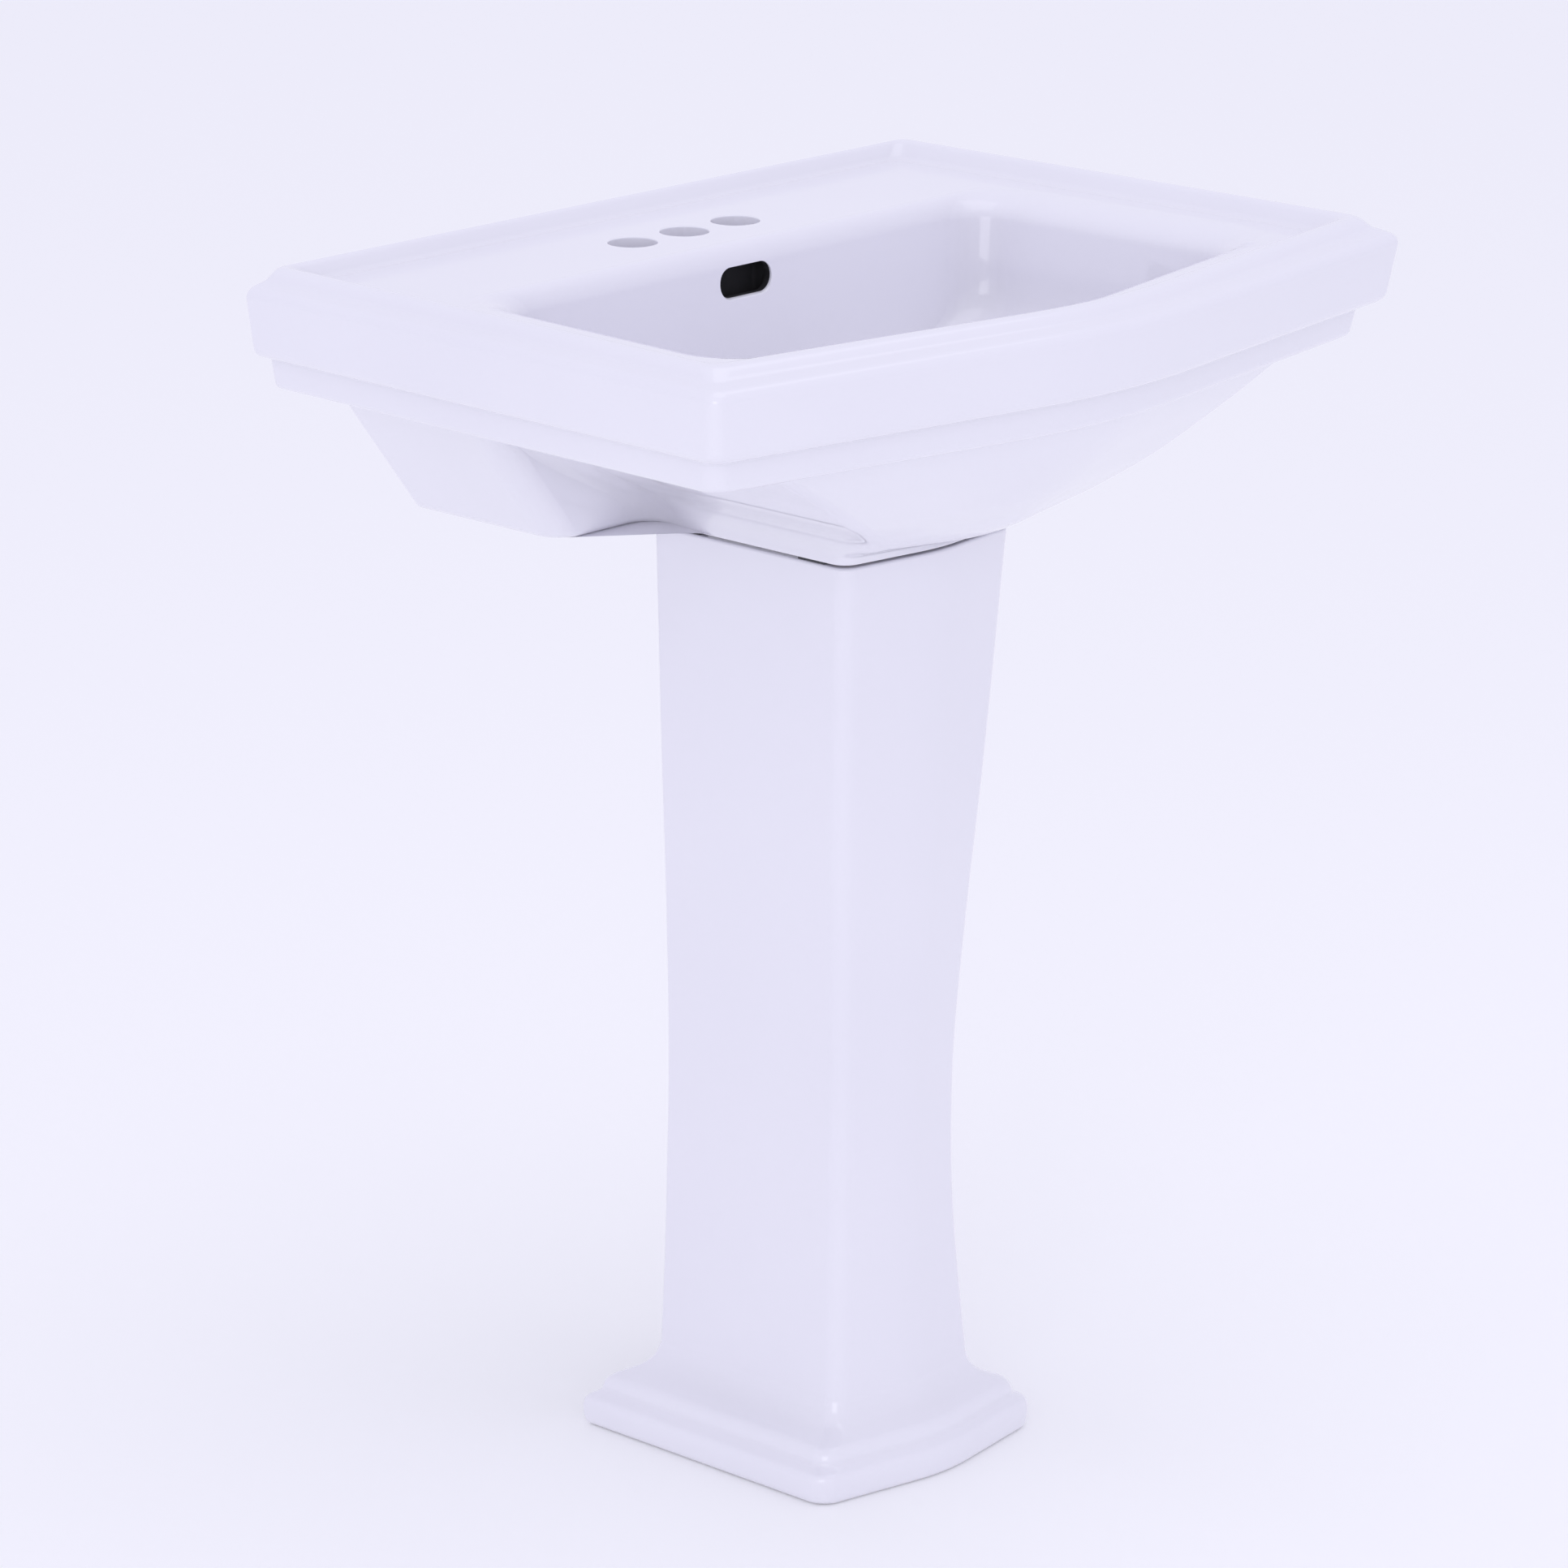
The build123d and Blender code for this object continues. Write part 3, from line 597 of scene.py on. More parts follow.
    def under_rings(self) -> list[np.ndarray]:
        """Rings from the collar out over the block's bottom and up the belly to the rim."""
        foot = [self.under_ring((671.6, 84.7, 318.8, 10.8), 3.4), self.under_ring((672.3, 84.8, 319.2, 11.2), 1.6),
                self.under_ring((673.8, 85.0, 320.2, 12.2), 0.4)]
        rows = [row for row in spline(self.belly[::-1], 5) if row[0] > 675.0]
        return foot + [self.under_ring(row) for row in rows]

    def cutter(self, name: str, plans: Sequence[tuple[float, Rows]],
               material: Material) -> Piece:
        """Upright solid through rounded four-sided plans, each given with its height."""
        rings = [at_height(fillet_path(plan, (5, 5, 5, 5), (3, 3, 3, 3)), z) for z, plan in plans]
        return make_object(name, rings, False, material)

    def hollows(self) -> Piece:
        """Rear chamber and both wing recesses, which don't touch each other."""
        ceiling = self.deck_z - self.deck_thickness
        def box(x: float, y_back: float, y_front: float, reach: float) -> list[tuple[float, float, float]]:
            return [(x, -y_back, reach), (x, -y_front, reach), (-x, -y_front, reach), (-x, -y_back, reach)]
        chamber = [(660.0, box(150.0, self.wall, 116.0, 6.0)), (779.0, box(244.0, self.wall, 116.0, 8.0)),
                   (ceiling - 6.0, box(244.0, self.wall, 116.0, 8.0)), (ceiling - 1.5, box(242.0, 16.0, 114.0, 8.0)),
                   (ceiling, box(238.0, 20.0, 110.0, 8.0))]
        solids = [self.cutter("chamber", chamber, self.china)]
        for side in (-1, 1):
            plans = []
            for z, inset in ((770.0, 0.0), (ceiling - 5.0, 0.0), (ceiling - 1.4, 1.4), (ceiling, 5.0)):
                back, front, inner = -self.wall - inset, -400.0 + inset, 264.0 + inset
                corners = ((inner, back), (287.0 - inset, back), (298.0 - inset, front), (inner, front))
                plans.append((z, [(side * x, y, 5.0) for x, y in corners]))
            solids.append(self.cutter("wing", plans, self.china))
        return join(solids)

    def duct(self) -> Piece:
        """Flat duct of the overflow, behind the bowl's back wall."""
        half = self.slot_half
        plan = [(half, -129.0, 3.0), (half, -140.0, 3.0), (-half, -140.0, 3.0), (-half, -129.0, 3.0)]
        # the duct's walls take the unglazed finish painted dark, painted shade for the deep overflow
        return self.cutter("duct", [(703.0, plan), (838.0, plan)], self.raw_painted_shade)

    def bored(self, radius: float, lip: float, z_low: float, z_top: float, x: float, y: float) -> Piece:
        """Round cutter whose mouth flares with the glaze's rounded lip."""
        circle = fillet_path([(radius, 0, radius), (0, -radius, radius), (-radius, 0, radius), (0, radius, radius)],
                             (12, 12, 12, 12), (1, 1, 1, 1))
        circle /= np.linalg.norm(circle, axis=1)[:, None]
        turns = np.linspace(0, math.pi / 2, 6)
        steps = [(radius, z_low), (radius, z_top - lip)]
        steps += [(radius + lip * (1 - math.cos(t)), z_top - lip + lip * math.sin(t)) for t in turns[1:]]
        steps.append((radius + lip + 1.0, z_top + 3.0))
        rings = [at_height(circle * r + np.array([x, y]), z) for r, z in steps]
        return make_object("bore", rings, False, self.china)

    def bores(self) -> Piece:
        """Tap holes and wall holes."""
        ceiling = self.deck_z - self.deck_thickness
        solids = [self.bored(self.hole_r, 1.0, ceiling - 4.0, self.deck_z, column * self.hole_pitch, -self.hole_y)
                  for column in (-1, 0, 1)]
        for side in (-1, 1):
            hole = self.bored(self.wall_hole_r, 0.8, -4.0, self.wall, side * self.wall_hole_x, self.wall_hole_z)
            turn = np.array([[1, 0, 0], [0, 0, -1], [0, 1, 0]], float)
            points = np.array([v.co for v in hole.data.vertices]) - np.array([0, WALL_Y, 0])
            points = points @ turn.T
            hole.data.vertices.foreach_set("co", (points + np.array([0, WALL_Y, 0])).ravel())
            solids.append(hole)
        return join(solids)

    def slot(self, steps: Sequence[tuple[float, float]], material: Material) -> Piece:
        """Stadium-shaped cutter of the overflow's mouth.

        Args:
            steps: y and growth of the stadium at each ring.
            material: Finish of what it cuts.

        Returns:
            The cutter.
        """
        rings = []
        for y, grow in steps:
            w, h = self.slot_half + grow, self.slot_reach + grow
            flat = fillet_path([(w, -h, h), (w, h, h), (-w, h, h), (-w, -h, h)], (10, 10, 10, 10), (1, 3, 1, 3))
            rings.append(np.c_[flat[:, 0], np.full(len(flat), y), self.slot_z + flat[:, 1]])
        return make_object("slot", rings, False, material)

    def build(self) -> None:
        """Makes the casting and puts it in place of its CAD node."""
        bowl = self.bowl_rings()
        rings = self.rim_rings() + bowl + self.drain_rings(bowl[-1]) + self.collar_rings() + self.under_rings()
        basin = make_object("china_basin", rings, True, self.china)
        mouth = self.slot(((-144.8, -0.4), (-146.0, -0.1), (-147.2, 0.7), (-148.6, 2.6), (-160.0, 9.0)), self.china)
        # the throat behind the overflow's mouth takes the same painted-dark finish, painted shade inside the overflow
        throat = self.slot(((-134.0, -0.4), (-147.0, -0.4)), self.raw_painted_shade)
        for hollow in (self.hollows(), self.bores(), self.duct(), mouth, throat):
            combine(basin, hollow, Join.CUT)
        smooth(basin)
        place(basin, Body.SINK, Slot.CHINA, "basin")


# ---- pedestal ----
@dataclass
class Pedestal:
    """One china casting: moulded base and waisted column, open at the back."""

    china: Material
    top_z: float = 667.0
    corner_reach: float = 11.0
    plinth_reach: float = 14.0
    screw_r: float = 5.0
    screw_x: float = 45.0
    screw_y: float = 122.0

    # height, half width, front corner y, back y, front bow
    column = ((62.0, 70.5, 298.5, 126.0, 9.5), (100.0, 67.6, 296.4, 125.6, 9.0), (150.0, 63.8, 293.8, 124.5, 8.5),
              (200.0, 61.5, 292.3, 124.0, 8.5), (250.0, 60.8, 292.5, 125.0, 8.5), (300.0, 61.5, 294.0, 126.0, 8.5),
              (400.0, 67.5, 300.0, 130.0, 9.0), (500.0, 75.0, 307.0, 134.0, 9.5), (667.0, 84.5, 318.0, 139.0, 10.0))
    plinth = (111.0, 323.0, 88.0, 18.0)
    # height and share of the way from the column's outline to the plinth's
    base = ((0.8, 0.90), (3.0, 0.965), (8.0, 1.0), (18.0, 1.0), (22.0, 0.95), (24.5, 0.84), (26.5, 0.77),
            (30.0, 0.75), (34.0, 0.71), (37.5, 0.62), (40.0, 0.48), (45.0, 0.25), (52.0, 0.09), (62.0, 0.0))
    # height, half width and front y of the hollow
    hollow = ((0.0, 92.0, 300.0), (16.0, 90.0, 298.0), (60.0, 56.0, 284.0), (250.0, 47.0, 279.0),
              (667.0, 70.5, 304.0))

    def ring(self, z: float, half: float, corner_y: float, back_y: float, bow: float, reach: float,
             inset: float = 0.0) -> np.ndarray:
        """Horseshoe ring: the outside, then back along the hollow.

        Args:
            z: Height.
            half: Half width outside.
            corner_y: Distance of the front corners from the wall.
            back_y: Distance of the back edges from the wall.
            bow: How far the front bulges past its corners.
            reach: Rounding of the front corners.
            inset: How far the ring draws in from all its faces.

        Returns:
            Points of the ring.
        """
        heights = [row[0] for row in self.hollow]
        inner_half = float(np.interp(z, heights, [row[1] for row in self.hollow])) + inset
        inner_front = float(np.interp(z, heights, [row[2] for row in self.hollow])) + inset
        half, corner_y, back_y = half - inset, corner_y - inset, back_y + inset
        arc_half = APEX_SHARE * half
        slope = bow / (half - arc_half / 2)
        outer = [(half, -back_y, 4.0), (half, -corner_y, reach)]
        apex = (0.0, -corner_y - half * slope, arc_half * math.hypot(1.0, slope))
        inner = [(-inner_half, -back_y, 4.0), (-inner_half, -inner_front, 9.0), (inner_half, -inner_front, 9.0),
                 (inner_half, -back_y, 4.0)]
        corners = outer + [apex] + [(-x, y, r) for x, y, r in reversed(outer)] + inner
        flat = fillet_path(corners, (5, 9, 12, 9, 5, 5, 6, 6, 5), (8, 6, 6, 8, 3, 6, 8, 6, 3))
        return at_height(flat, z)

    def rows(self) -> list[tuple[float, ...]]:
        """Height, half width, corner y, back y, bow and rounding from the floor to the top."""
        _, *foot = self.column[0]
        rows = []
        for z, share in spline(self.base, 4)[:-1]:
            half, corner_y, back_y, bow = [a + (b - a) * share for a, b in zip(foot, self.plinth)]
            rows.append((z, half, corner_y, back_y, bow,
                         self.corner_reach + (self.plinth_reach - self.corner_reach) * share))
        return rows + [(*row, self.corner_reach) for row in spline(self.column, 5)]

    def bridge(self) -> Piece:
        """Strip across the foot with the two floor screw holes."""
        plan = [(95.0, -100.0, 2.0), (95.0, -144.0, 2.0), (-95.0, -144.0, 2.0), (-95.0, -100.0, 2.0)]
        rings = []
        for z, inset in ((0.0, 0.6), (0.6, 0.0), (10.5, 0.0), (11.6, 0.5), (12.0, 1.6)):
            flat = fillet_path([(x - math.copysign(inset, x), y + (inset if y < -self.screw_y else -inset), r)
                                for x, y, r in plan], (4, 4, 4, 4), (3, 9, 3, 9))
            rings.append(at_height(flat, z))
        strip = make_object("bridge", rings, False, self.china)
        holes = []
        for side in (-1, 1):
            angles = np.linspace(0, 2 * math.pi, 32, endpoint=False)
            circle = np.c_[np.cos(angles), np.sin(angles)]
            middle = np.array([side * self.screw_x, -self.screw_y])
            r = self.screw_r
            steps = ((r + 1.0, -2.0), (r, 1.0), (r, 11.0), (r + 2.0, 14.0))
            holes.append(make_object("screw", [at_height(circle * size + middle, z) for size, z in steps],
                                     False, self.china))
        combine(strip, join(holes), Join.CUT)
        return strip

    def build(self) -> None:
        """Makes the casting and puts it in place of its CAD node."""
        rows = self.rows()
        lowest, highest = rows[0], rows[-1]
        rings = [self.ring(0.0, *lowest[1:], 2.2), self.ring(0.25, *lowest[1:], 1.0)]
        rings += [self.ring(*row) for row in rows[:-1]]
        rings += [self.ring(self.top_z - drop, *highest[1:], inset)
                  for drop, inset in ((2.0, 0.0), (1.2, 0.15), (0.5, 0.7), (0.1, 1.5), (0.0, 2.4))]
        pedestal = make_object("china_pedestal", rings, False, self.china)
        combine(pedestal, self.bridge(), Join.ADD)
        smooth(pedestal)
        place(pedestal, Body.SINK, Slot.CHINA, "pedestal")


# ---- drain and trap ----
def turned(name: str, profile: Rows, material: Material, y: float,
           solid: bool = False) -> Piece:
    """Turned piece with its profile's corners rounded.

    Args:
        name: Name of the piece.
        profile: Radius, height and rounding of each corner, round a ring's section, or from the lower pole to
            the upper one.
        material: Finish.
        y: Distance of the axis from the wall.
        solid: Whether the profile ends on the axis.

    Returns:
        The piece.
    """
    count = len(profile)
    path = fillet_path(profile, (4,) * count, (3,) * count, closed=not solid)
    angles = np.linspace(0, 2 * math.pi, TURNED_SEGMENTS, endpoint=False)
    circle = np.c_[np.cos(angles), np.sin(angles)]
    rings = [at_height(circle * max(radius, 0.02) + np.array([0.0, -y]), z) for radius, z in path]
    return make_object(name, rings, not solid, material)


def swept(name: str, stations: Rows, material: Material) -> Piece:
    """Tube along a line in the middle plane.

    Args:
        name: Name of the piece.
        stations: y, z, outer radius and inner radius along the line.
        material: Finish.

    Returns:
        The piece, with rounded ends.
    """
    rows = np.array(stations, float)
    along = np.gradient(rows[:, :2], axis=0)
    along /= np.linalg.norm(along, axis=1)[:, None]
    angles = np.linspace(0, 2 * math.pi, TUBE_SEGMENTS, endpoint=False)

    def ring(i: int, radius: float, shift: float = 0.0) -> np.ndarray:
        """Circle square to the line at a station."""
        (y, z), (dy, dz) = rows[i, :2] + along[i] * shift, along[i]
        side = radius * np.sin(angles)
        return np.c_[radius * np.cos(angles), y - dz * side, z + dy * side]

    last = len(rows) - 1
    rings = [ring(0, rows[0, 2] - TUBE_END)] + [ring(i, rows[i, 2], 0.0 if i else TUBE_END) for i in range(last)]
    rings += [ring(last, rows[last, 2], -TUBE_END), ring(last, rows[last, 2] - TUBE_END)]
    rings += [ring(last, rows[last, 3])] + [ring(i, rows[i, 3]) for i in range(last - 1, -1, -1)]
    return make_object(name, rings, True, material)


def bend(centre: tuple[float, float], radius: float, start: float, end: float,
         steps: int) -> list[tuple[float, float]]:
    """Points of an arc in the middle plane, its angles in degrees from the +Y direction.

    Args:
        centre: y and z of the arc's centre.
        radius: Radius of the arc.
        start: First angle.
        end: Last angle.
        steps: Steps along the arc.

    Returns:
        y and z of each point.
    """
    angles = np.radians(np.linspace(start, end, steps + 1))
    return [(centre[0] + radius * math.cos(a), centre[1] + radius * math.sin(a)) for a in angles]


@dataclass
class Drain:
    """Flange, threaded body, washers and locknut that clamp the drain into the basin."""

    chrome: Material
    brass: Material
    rubber: Material
    y: float = 240.0
    body_r: float = 19.0
    thread_pitch: float = 2.2
    thread_height: float = 0.55
    thread_sink: float = 0.45
    thread_length: float = 50.0
    thread_bottom: float = 642.0

    def flange(self) -> None:
        """Dished flange with its neck."""
        profile = ((14.2, 705.0, 0.3), (16.3, 705.0, 0.3), (16.3, 715.1, 0.3), (21.5, 716.6, 0.5), (21.5, 719.7, 0.3),
                   (33.0, 719.7, 0.2), (33.0, 722.0, 1.4), (26.0, 722.7, 3.0), (21.0, 719.2, 3.0), (14.2, 717.6, 1.6))
        ring = turned("chrome_drain_flange", profile, self.chrome, self.y)
        smooth(ring)
        place(ring, Body.SINK, Slot.CHROME, "drain_flange")

    def thread(self) -> Piece:
        """Thread ridge that climbs the drain body, made by Geometry Nodes.

        Returns:
            The ridge as a plain mesh.
        """
        group = bpy.data.node_groups.new("thread_ridge", "GeometryNodeTree")
        face = group.interface
        face.new_socket("Geometry", in_out="OUTPUT", socket_type="NodeSocketGeometry")
        face.new_socket("Geometry", in_out="INPUT", socket_type="NodeSocketGeometry")
        values = {"Radius": (self.body_r - self.thread_sink) * MM, "Length": self.thread_length * MM,
                  "Turns": self.thread_length / self.thread_pitch, "Ridge": self.thread_height * MM,
                  "Bottom": self.thread_bottom * MM, "Finish": self.brass}
        sockets = {}
        for name in values:
            kind = "NodeSocketMaterial" if name == "Finish" else "NodeSocketFloat"
            sockets[name] = face.new_socket(name, in_out="INPUT", socket_type=kind).identifier
        given = add_node(group, "NodeGroupInput").outputs
        spiral = add_node(group, "GeometryNodeCurveSpiral",
                          {"Resolution": 40, "Rotations": given["Turns"], "Start Radius": given["Radius"],
                           "End Radius": given["Radius"], "Height": given["Length"]})
        section = add_node(group, "GeometryNodeCurvePrimitiveCircle",
                           {"Resolution": 6, "Radius": given["Ridge"]}, {"mode": "RADIUS"})
        ridge = add_node(group, "GeometryNodeCurveToMesh",
                         {"Curve": spiral.outputs["Curve"], "Profile Curve": section.outputs["Curve"],
                          "Fill Caps": True})
        lift = add_node(group, "ShaderNodeCombineXYZ", {"Z": given["Bottom"]})
        raised = add_node(group, "GeometryNodeTransform",
                          {"Geometry": ridge.outputs["Mesh"], "Translation": lift.outputs["Vector"]})
        real = add_node(group, "GeometryNodeRealizeInstances", {"Geometry": raised.outputs["Geometry"]})
        dressed = add_node(group, "GeometryNodeSetMaterial",
                           {"Geometry": real.outputs["Geometry"], "Material": given["Finish"]})
        add_node(group, "NodeGroupOutput", {"Geometry": dressed.outputs["Geometry"]})
        carrier = add_object("thread", bpy.data.meshes.new("thread"))
        grow = carrier.modifiers.new("thread", "NODES")
        grow.node_group = group
        for name, value in values.items():
            grow[sockets[name]] = value
        bake(carrier)
        shift = WALL_Y - self.y * MM
        for vertex in carrier.data.vertices:
            vertex.co.y += shift
        return carrier

    def body(self) -> None:
        """Threaded tube with its four overflow windows."""
        socket_r, bore_r = 15.975, 16.4
        profile = ((bore_r, 658.0, 0.3), (socket_r, 656.0, 0.3), (socket_r, 640.0, 0.3), (self.body_r, 640.0, 0.8),
                   (self.body_r, 714.9, 0.4), (bore_r, 714.9, 0.3))
        tube = turned("brass_drain_body", profile, self.brass, self.y)
        for x, y in ((30.0, 4.0), (4.0, 30.0)):
            plan = [(x, -self.y - y, 0.5), (x, -self.y + y, 0.5), (-x, -self.y + y, 0.5), (-x, -self.y - y, 0.5)]
            rings = [at_height(fillet_path(plan, (2, 2, 2, 2), (3, 3, 3, 3)), z) for z in (696.0, 703.0)]
            combine(tube, make_object("window", rings, False, self.brass), Join.CUT)
        smooth(tube)
        join([tube, self.thread()])
        place(tube, Body.SINK, Slot.BRASS, "drain_body")

    def locknut(self) -> None:
        """Hexagon nut with chamfered corners."""
        sides = ((672.0, 26.0), (673.4, 28.0), (680.6, 28.0), (682.0, 26.0))
        nut = hexagon_nut("brass_locknut", self.brass, self.y, 28.0, 19.1, sides)
        place(nut, Body.SINK, Slot.BRASS, "drain_locknut")

    def washer(self) -> None:
        """Cone-shaped rubber washer under the china."""
        profile = ((19.1, 684.0, 0.3), (31.0, 684.0, 0.8), (31.0, 688.0, 0.8), (27.0, 694.0, 0.8), (19.1, 694.0, 0.3))
        ring = turned("rubber_cone_washer", profile, self.rubber, self.y)
        smooth(ring)
        place(ring, Body.SINK, Slot.RUBBER, "cone_washer")

    def build(self) -> None:
        """Makes all of the drain."""
        self.flange()
        self.body()
        self.locknut()
        self.washer()


def hexagon_nut(name: str, material: Material, y: float, corner_r: float, bore_r: float,
                sides: Sequence[tuple[float, float]],
                shoulder: Sequence[tuple[float, float]] = ()) -> Piece:
    """Hexagon nut with a bore.

    Args:
        name: Name of the piece.
        material: Finish.
        y: Distance of the axis from the wall.
        corner_r: Radius over the corners.
        bore_r: Radius of the bore.
        sides: Height and largest radius of each ring of the hexagon, so a smaller one chamfers its corners.
        shoulder: Height and radius of round rings above the hexagon.

    Returns:
        The nut.
    """
    corners = [(corner_r * math.cos(a), corner_r * math.sin(a), 1.2) for a in np.radians(np.arange(0, 360, 60))]
    hexagon = fillet_path(corners, (3,) * 6, (9,) * 6)
    centre = np.array([0.0, -y])
    rings = []
    for z, limit in sides:
        lengths = np.linalg.norm(hexagon, axis=1)[:, None]
        rings.append(at_height(hexagon * np.minimum(1.0, limit / lengths) + centre, z))
    around = rings[0][:, :2]
    rings += [onto_circle(around, (0.0, -y), radius, z) for z, radius in shoulder]
    top, bottom = rings[-1][0, 2], rings[0][0, 2]
    bore = ((bore_r + 0.8, top), (bore_r, top - 0.8), (bore_r, bottom + 0.8), (bore_r + 0.8, bottom))
    rings += [onto_circle(around, (0.0, -y), radius, z) for radius, z in bore]
    nut = make_object(name, rings, True, material)
    smooth(nut, NUT_CREASE_ANGLE)
    return nut


@dataclass
class Stopper:
    """Push cap with its seal, rod and the cartridge that guides it."""

    chrome: Material
    rubber: Material
    plastic: Material
    brass: Material
    y: float = 240.0

    def build(self) -> None:
        """Makes the cap and seal, and dresses the CAD's rod and cartridge."""
        profile = ((0.0, 716.4, 0.0), (13.0, 716.4, 0.4), (13.0, 720.2, 0.3), (19.5, 720.4, 0.3), (19.5, 722.0, 0.9),
                   (15.0, 724.2, 6.0), (0.0, 725.0, 0.0))
        cap = turned("chrome_stopper_cap", profile, self.chrome, self.y, solid=True)
        smooth(cap)
        place(cap, Body.STOPPER, Slot.CHROME, "stopper_cap")
        profile = ((13.05, 718.4, 0.2), (16.6, 718.4, 0.5), (17.5, 719.3, 0.5), (17.4, 720.0, 0.2),
                   (13.05, 720.0, 0.2))
        seal = turned("rubber_stopper_seal", profile, self.rubber, self.y)
        smooth(seal)
        place(seal, Body.STOPPER, Slot.RUBBER, "stopper_seal")
        dress("stopper_plunger", self.brass)
        dress("stopper_cartridge", self.plastic)


@dataclass
class Trap:
    """Tailpiece, J-bend, arm and slip nuts of the waste."""

    chrome: Material
    rubber: Material
    inlet_y: float = 240.0
    outlet_y: float = 152.0
    tube_r: float = 15.875
    bore_r: float = 14.875
    cup_r: float = 17.175
    bend_r: float = 44.0
    bend_z: float = 452.0
    arm_z: float = 505.0
    arm_bend_r: float = 30.0

    def tailpiece(self) -> None:
        """Straight tube down into the trap."""
        stations = [(-self.inlet_y, z, self.tube_r, self.bore_r) for z in (654.0, 640.0, 580.0, 520.0, 500.0)]
        tube = swept("chrome_tailpiece", stations, self.chrome)
        smooth(tube)
        place(tube, Body.SINK, Slot.CHROME, "tailpiece")

    def j_bend(self) -> None:
        """U-shaped bend with a cup at its inlet and a collar at its outlet."""
        cup, tube = (self.cup_r, self.cup_r - 1.2), (self.tube_r, self.bore_r)
        inlet, outlet = -self.inlet_y, -self.outlet_y
        stations = [(inlet, z, *cup) for z in (522.0, 521.0, 507.0, 493.0, 491.6)]
        stations += [(inlet, 489.6, 16.6, self.bore_r + 0.2)]
        stations += [(inlet, z, *tube) for z in (487.8, 480.0, 466.0)]
        middle = ((inlet + outlet) / 2, self.bend_z)
        stations += [(y, z, *tube) for y, z in bend(middle, self.bend_r, 180.0, 360.0, 36)]
        stations += [(outlet, 455.0, *tube)]
        stations += [(outlet, z, self.cup_r, self.bore_r) for z in (456.4, 458.0, 464.0, 470.0)]
        tube_piece = swept("chrome_trap_bend", stations, self.chrome)
        smooth(tube_piece)
        place(tube_piece, Body.SINK, Slot.CHROME, "trap_j_bend")

    def arm(self) -> None:
        """Elbow and short tube that takes the building's waste pipe."""
        tube = (self.tube_r, self.bore_r)
        stations = [(-self.outlet_y, z, self.cup_r, self.bore_r) for z in (471.0, 472.0, 472.8)]
        stations += [(-self.outlet_y, 473.4, *tube)]
        middle = (-self.outlet_y + self.arm_bend_r, self.arm_z - self.arm_bend_r)
        stations += [(y, z, *tube) for y, z in bend(middle, self.arm_bend_r, 180.0, 90.0, 20)]
        stations += [(y, self.arm_z, *tube) for y in (-115.0, -100.0, -80.0)]
        tube_piece = swept("chrome_trap_arm", stations, self.chrome)
        smooth(tube_piece)
        place(tube_piece, Body.SINK, Slot.CHROME, "trap_arm")

    def nut(self, name: str, node: str, y: float, z: float) -> None:
        """Slip nut: hexagon skirt with a round shoulder that closes on the tube."""
        sides = ((z, 22.2), (z + 1.0, 23.5), (z + 12.0, 23.5), (z + 13.0, 22.0))
        shoulder = ((z + 13.2, 20.5), (z + 16.4, 20.3), (z + 17.5, 19.4), (z + 18.0, 18.0))
        piece = hexagon_nut(name, self.chrome, y, 23.5, 16.0, sides, shoulder)
        place(piece, Body.SINK, Slot.CHROME, node)

    def build(self) -> None:
        """Makes all of the trap and dresses the CAD's washers."""
        self.tailpiece()
        self.j_bend()
        self.arm()
        self.nut("chrome_inlet_nut", "trap_inlet_nut", self.inlet_y, 508.0)
        self.nut("chrome_outlet_nut", "trap_outlet_nut", self.outlet_y, 458.0)
        dress("trap_inlet_washer", self.rubber)
        dress("trap_outlet_washer", self.rubber)


def dress(node: str, material: Material) -> None:
    """Gives a CAD node that keeps its shape a better finish."""
    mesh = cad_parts[node].data
    mesh.materials.clear()
    mesh.materials.append(material)
    LOG.info("%s: CAD shape kept, finish %s", node, material.name)


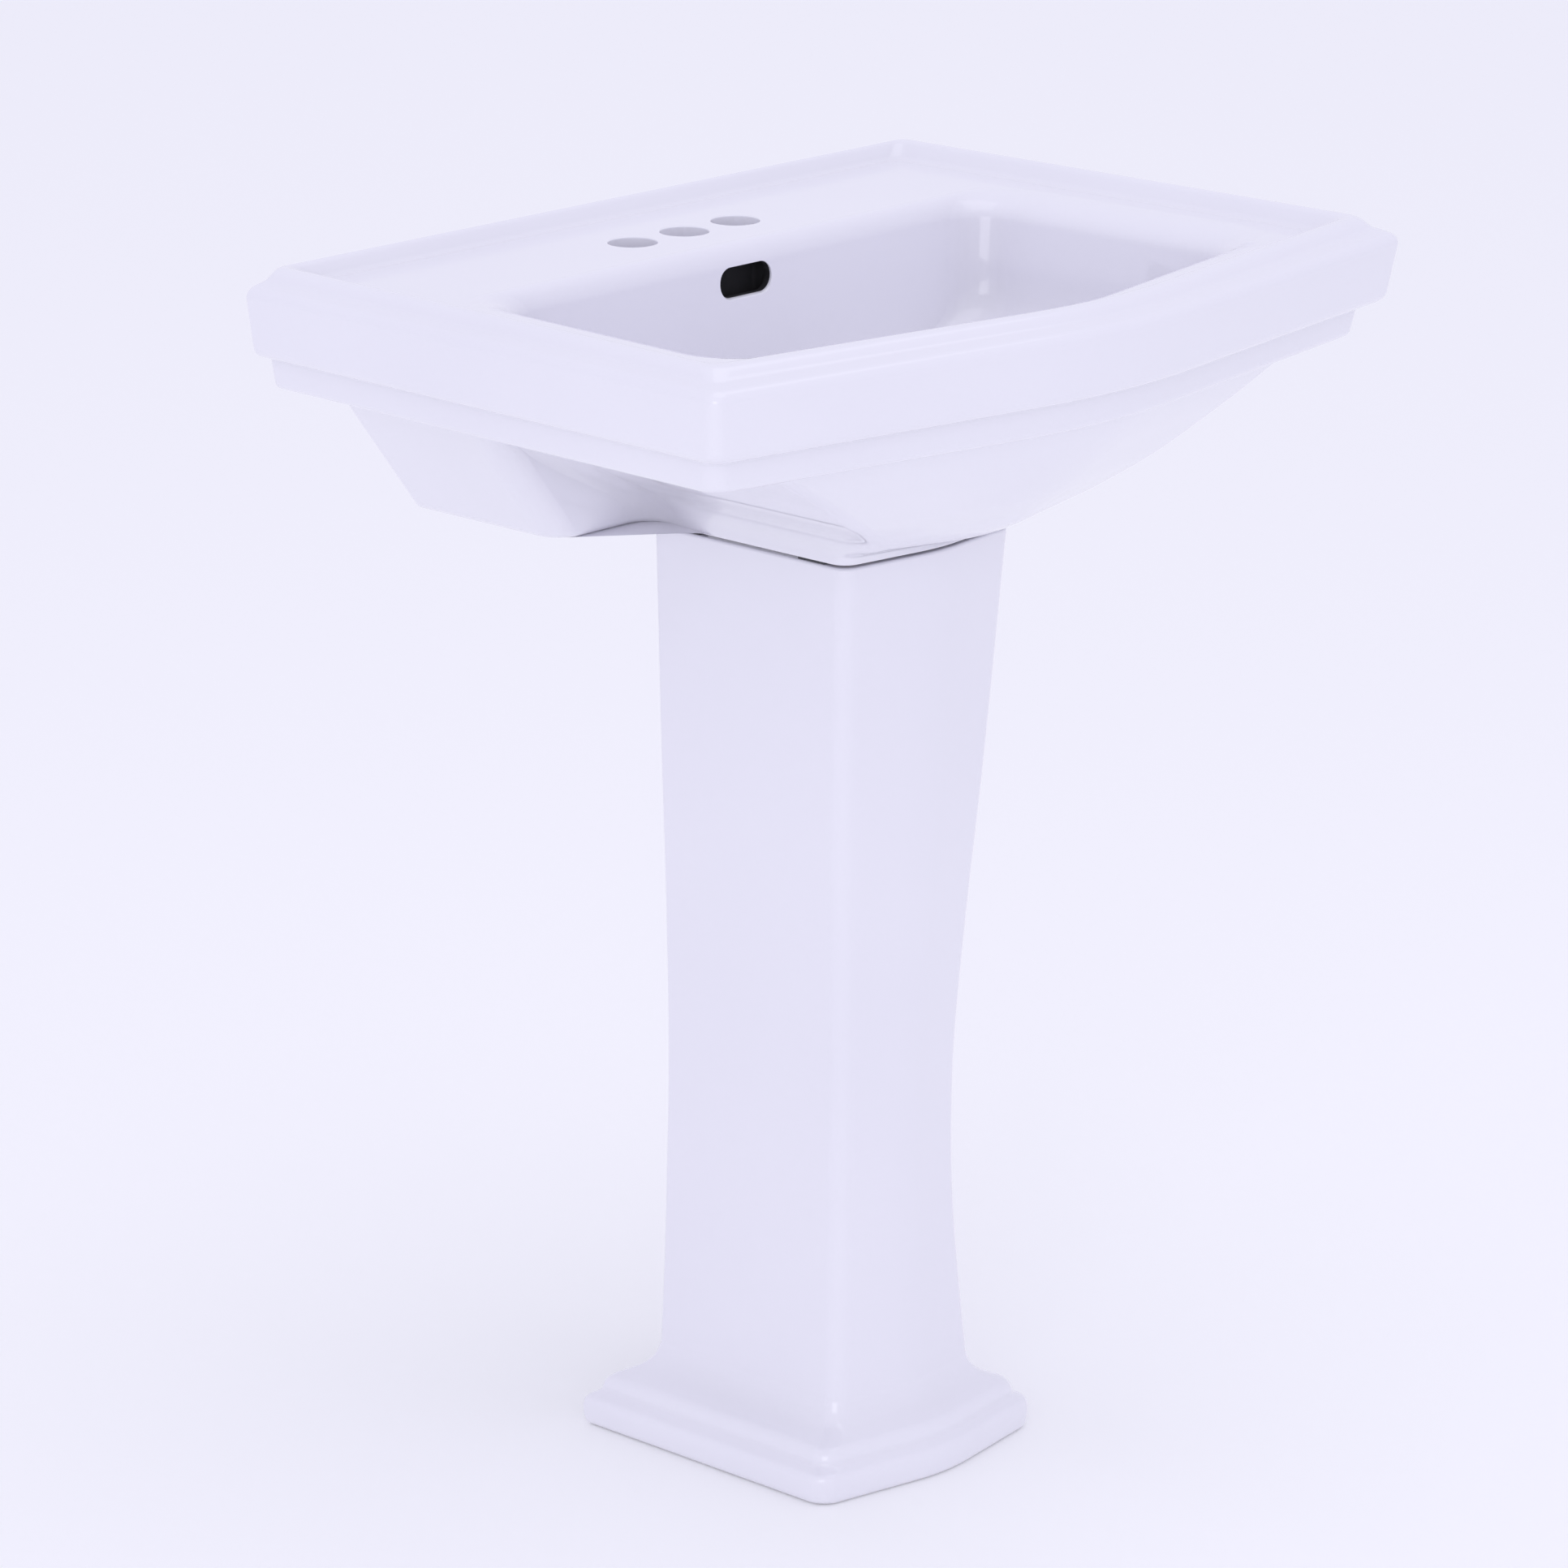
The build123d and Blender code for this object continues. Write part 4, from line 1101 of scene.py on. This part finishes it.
# ---- studio ----
@dataclass
class Studio:
    """Pale floor, soft light and the camera."""

    camera_at: tuple[float, float, float] = (-3.3463, -3.2357, 1.8288)
    azimuth: float = -46.5
    elevation: float = 16.38
    lens: float = 158.0
    sensor_width: float = 36.0
    clip_end: float = 100.0
    floor_reach: float = 14.0
    aim: tuple[float, float, float] = (0.0, -0.1, 0.6)

    def floor(self) -> None:
        """Large plain floor."""
        mesh = bpy.data.meshes.new("floor")
        reach = self.floor_reach
        mesh.from_pydata([(-reach, -reach, 0), (reach, -reach, 0), (reach, reach, 0), (-reach, reach, 0)], [],
                         [(0, 1, 2, 3)])
        material = bpy.data.materials.new("matt_white_floor")
        material.use_nodes = True
        shader = material.node_tree.nodes["Principled BSDF"]
        shader.inputs["Base Color"].default_value = linear("F4F4F5")
        shader.inputs["Roughness"].default_value = 0.9
        shader.inputs["Emission Color"].default_value = linear("FFFFFF")
        shader.inputs["Emission Strength"].default_value = 0.08
        mesh.materials.append(material)
        add_object("floor", mesh)

    def light(self, name: str, at: tuple[float, float, float], size: float, power: float) -> None:
        """Adds one soft square light.

        Args:
            name: Name of the light.
            at: Place of the light in metres.
            size: Side of its square in metres.
            power: Power in watts.
        """
        data = bpy.data.lights.new(name, "AREA")
        data.energy, data.size = power, size
        lamp = add_object(name, data)
        lamp.location = at
        lamp.rotation_euler = (Vector(self.aim) - Vector(at)).to_track_quat("-Z", "Y").to_euler()

    def build(self) -> None:
        """Sets the world, lights, floor and camera."""
        scene = bpy.context.scene
        world = bpy.data.worlds.new("pale_studio")
        world.use_nodes = True
        sky = world.node_tree.nodes["Background"]
        sky.inputs["Color"].default_value = linear("F1F0FF")
        sky.inputs["Strength"].default_value = 0.95
        scene.world = world
        self.floor()
        self.light("key", (-3.0, -2.2, 1.6), 1.8, 14.0)
        self.light("top", (0.4, -0.6, 3.4), 2.2, 7.0)
        data = bpy.data.cameras.new("camera")
        data.lens, data.sensor_width = self.lens, self.sensor_width
        data.clip_end = self.clip_end
        camera = add_object("camera", data)
        a, e = math.radians(self.azimuth), math.radians(self.elevation)
        back = Vector((math.sin(a) * math.cos(e), -math.cos(a) * math.cos(e), math.sin(e)))
        camera.location = self.camera_at
        camera.rotation_mode = "QUATERNION"
        camera.rotation_quaternion = (-back).to_track_quat("-Z", "Y")
        scene.camera = camera
        scene.view_settings.view_transform = "Standard"


def main() -> None:
    """Builds every piece in order."""
    logging.basicConfig(level=logging.INFO, format="%(name)s: %(message)s")
    china, chrome, brass = GLAZED_CHINA.build(), CHROME.build(), BARE_BRASS.build()
    rubber, plastic = RUBBER.build(), PLASTIC.build()
    Basin(china, UNGLAZED_CHINA_PAINTED_SHADE.build()).build()
    Pedestal(china).build()
    Drain(chrome, brass, rubber).build()
    Stopper(chrome, rubber, plastic, brass).build()
    Trap(chrome, rubber).build()
    foam = FOAM.build()
    dress("rest_pads", foam)
    dress("flange_gasket", foam)
    dress("friction_washer", plastic)
    Studio().build()


if __name__ == "__main__":
    main()
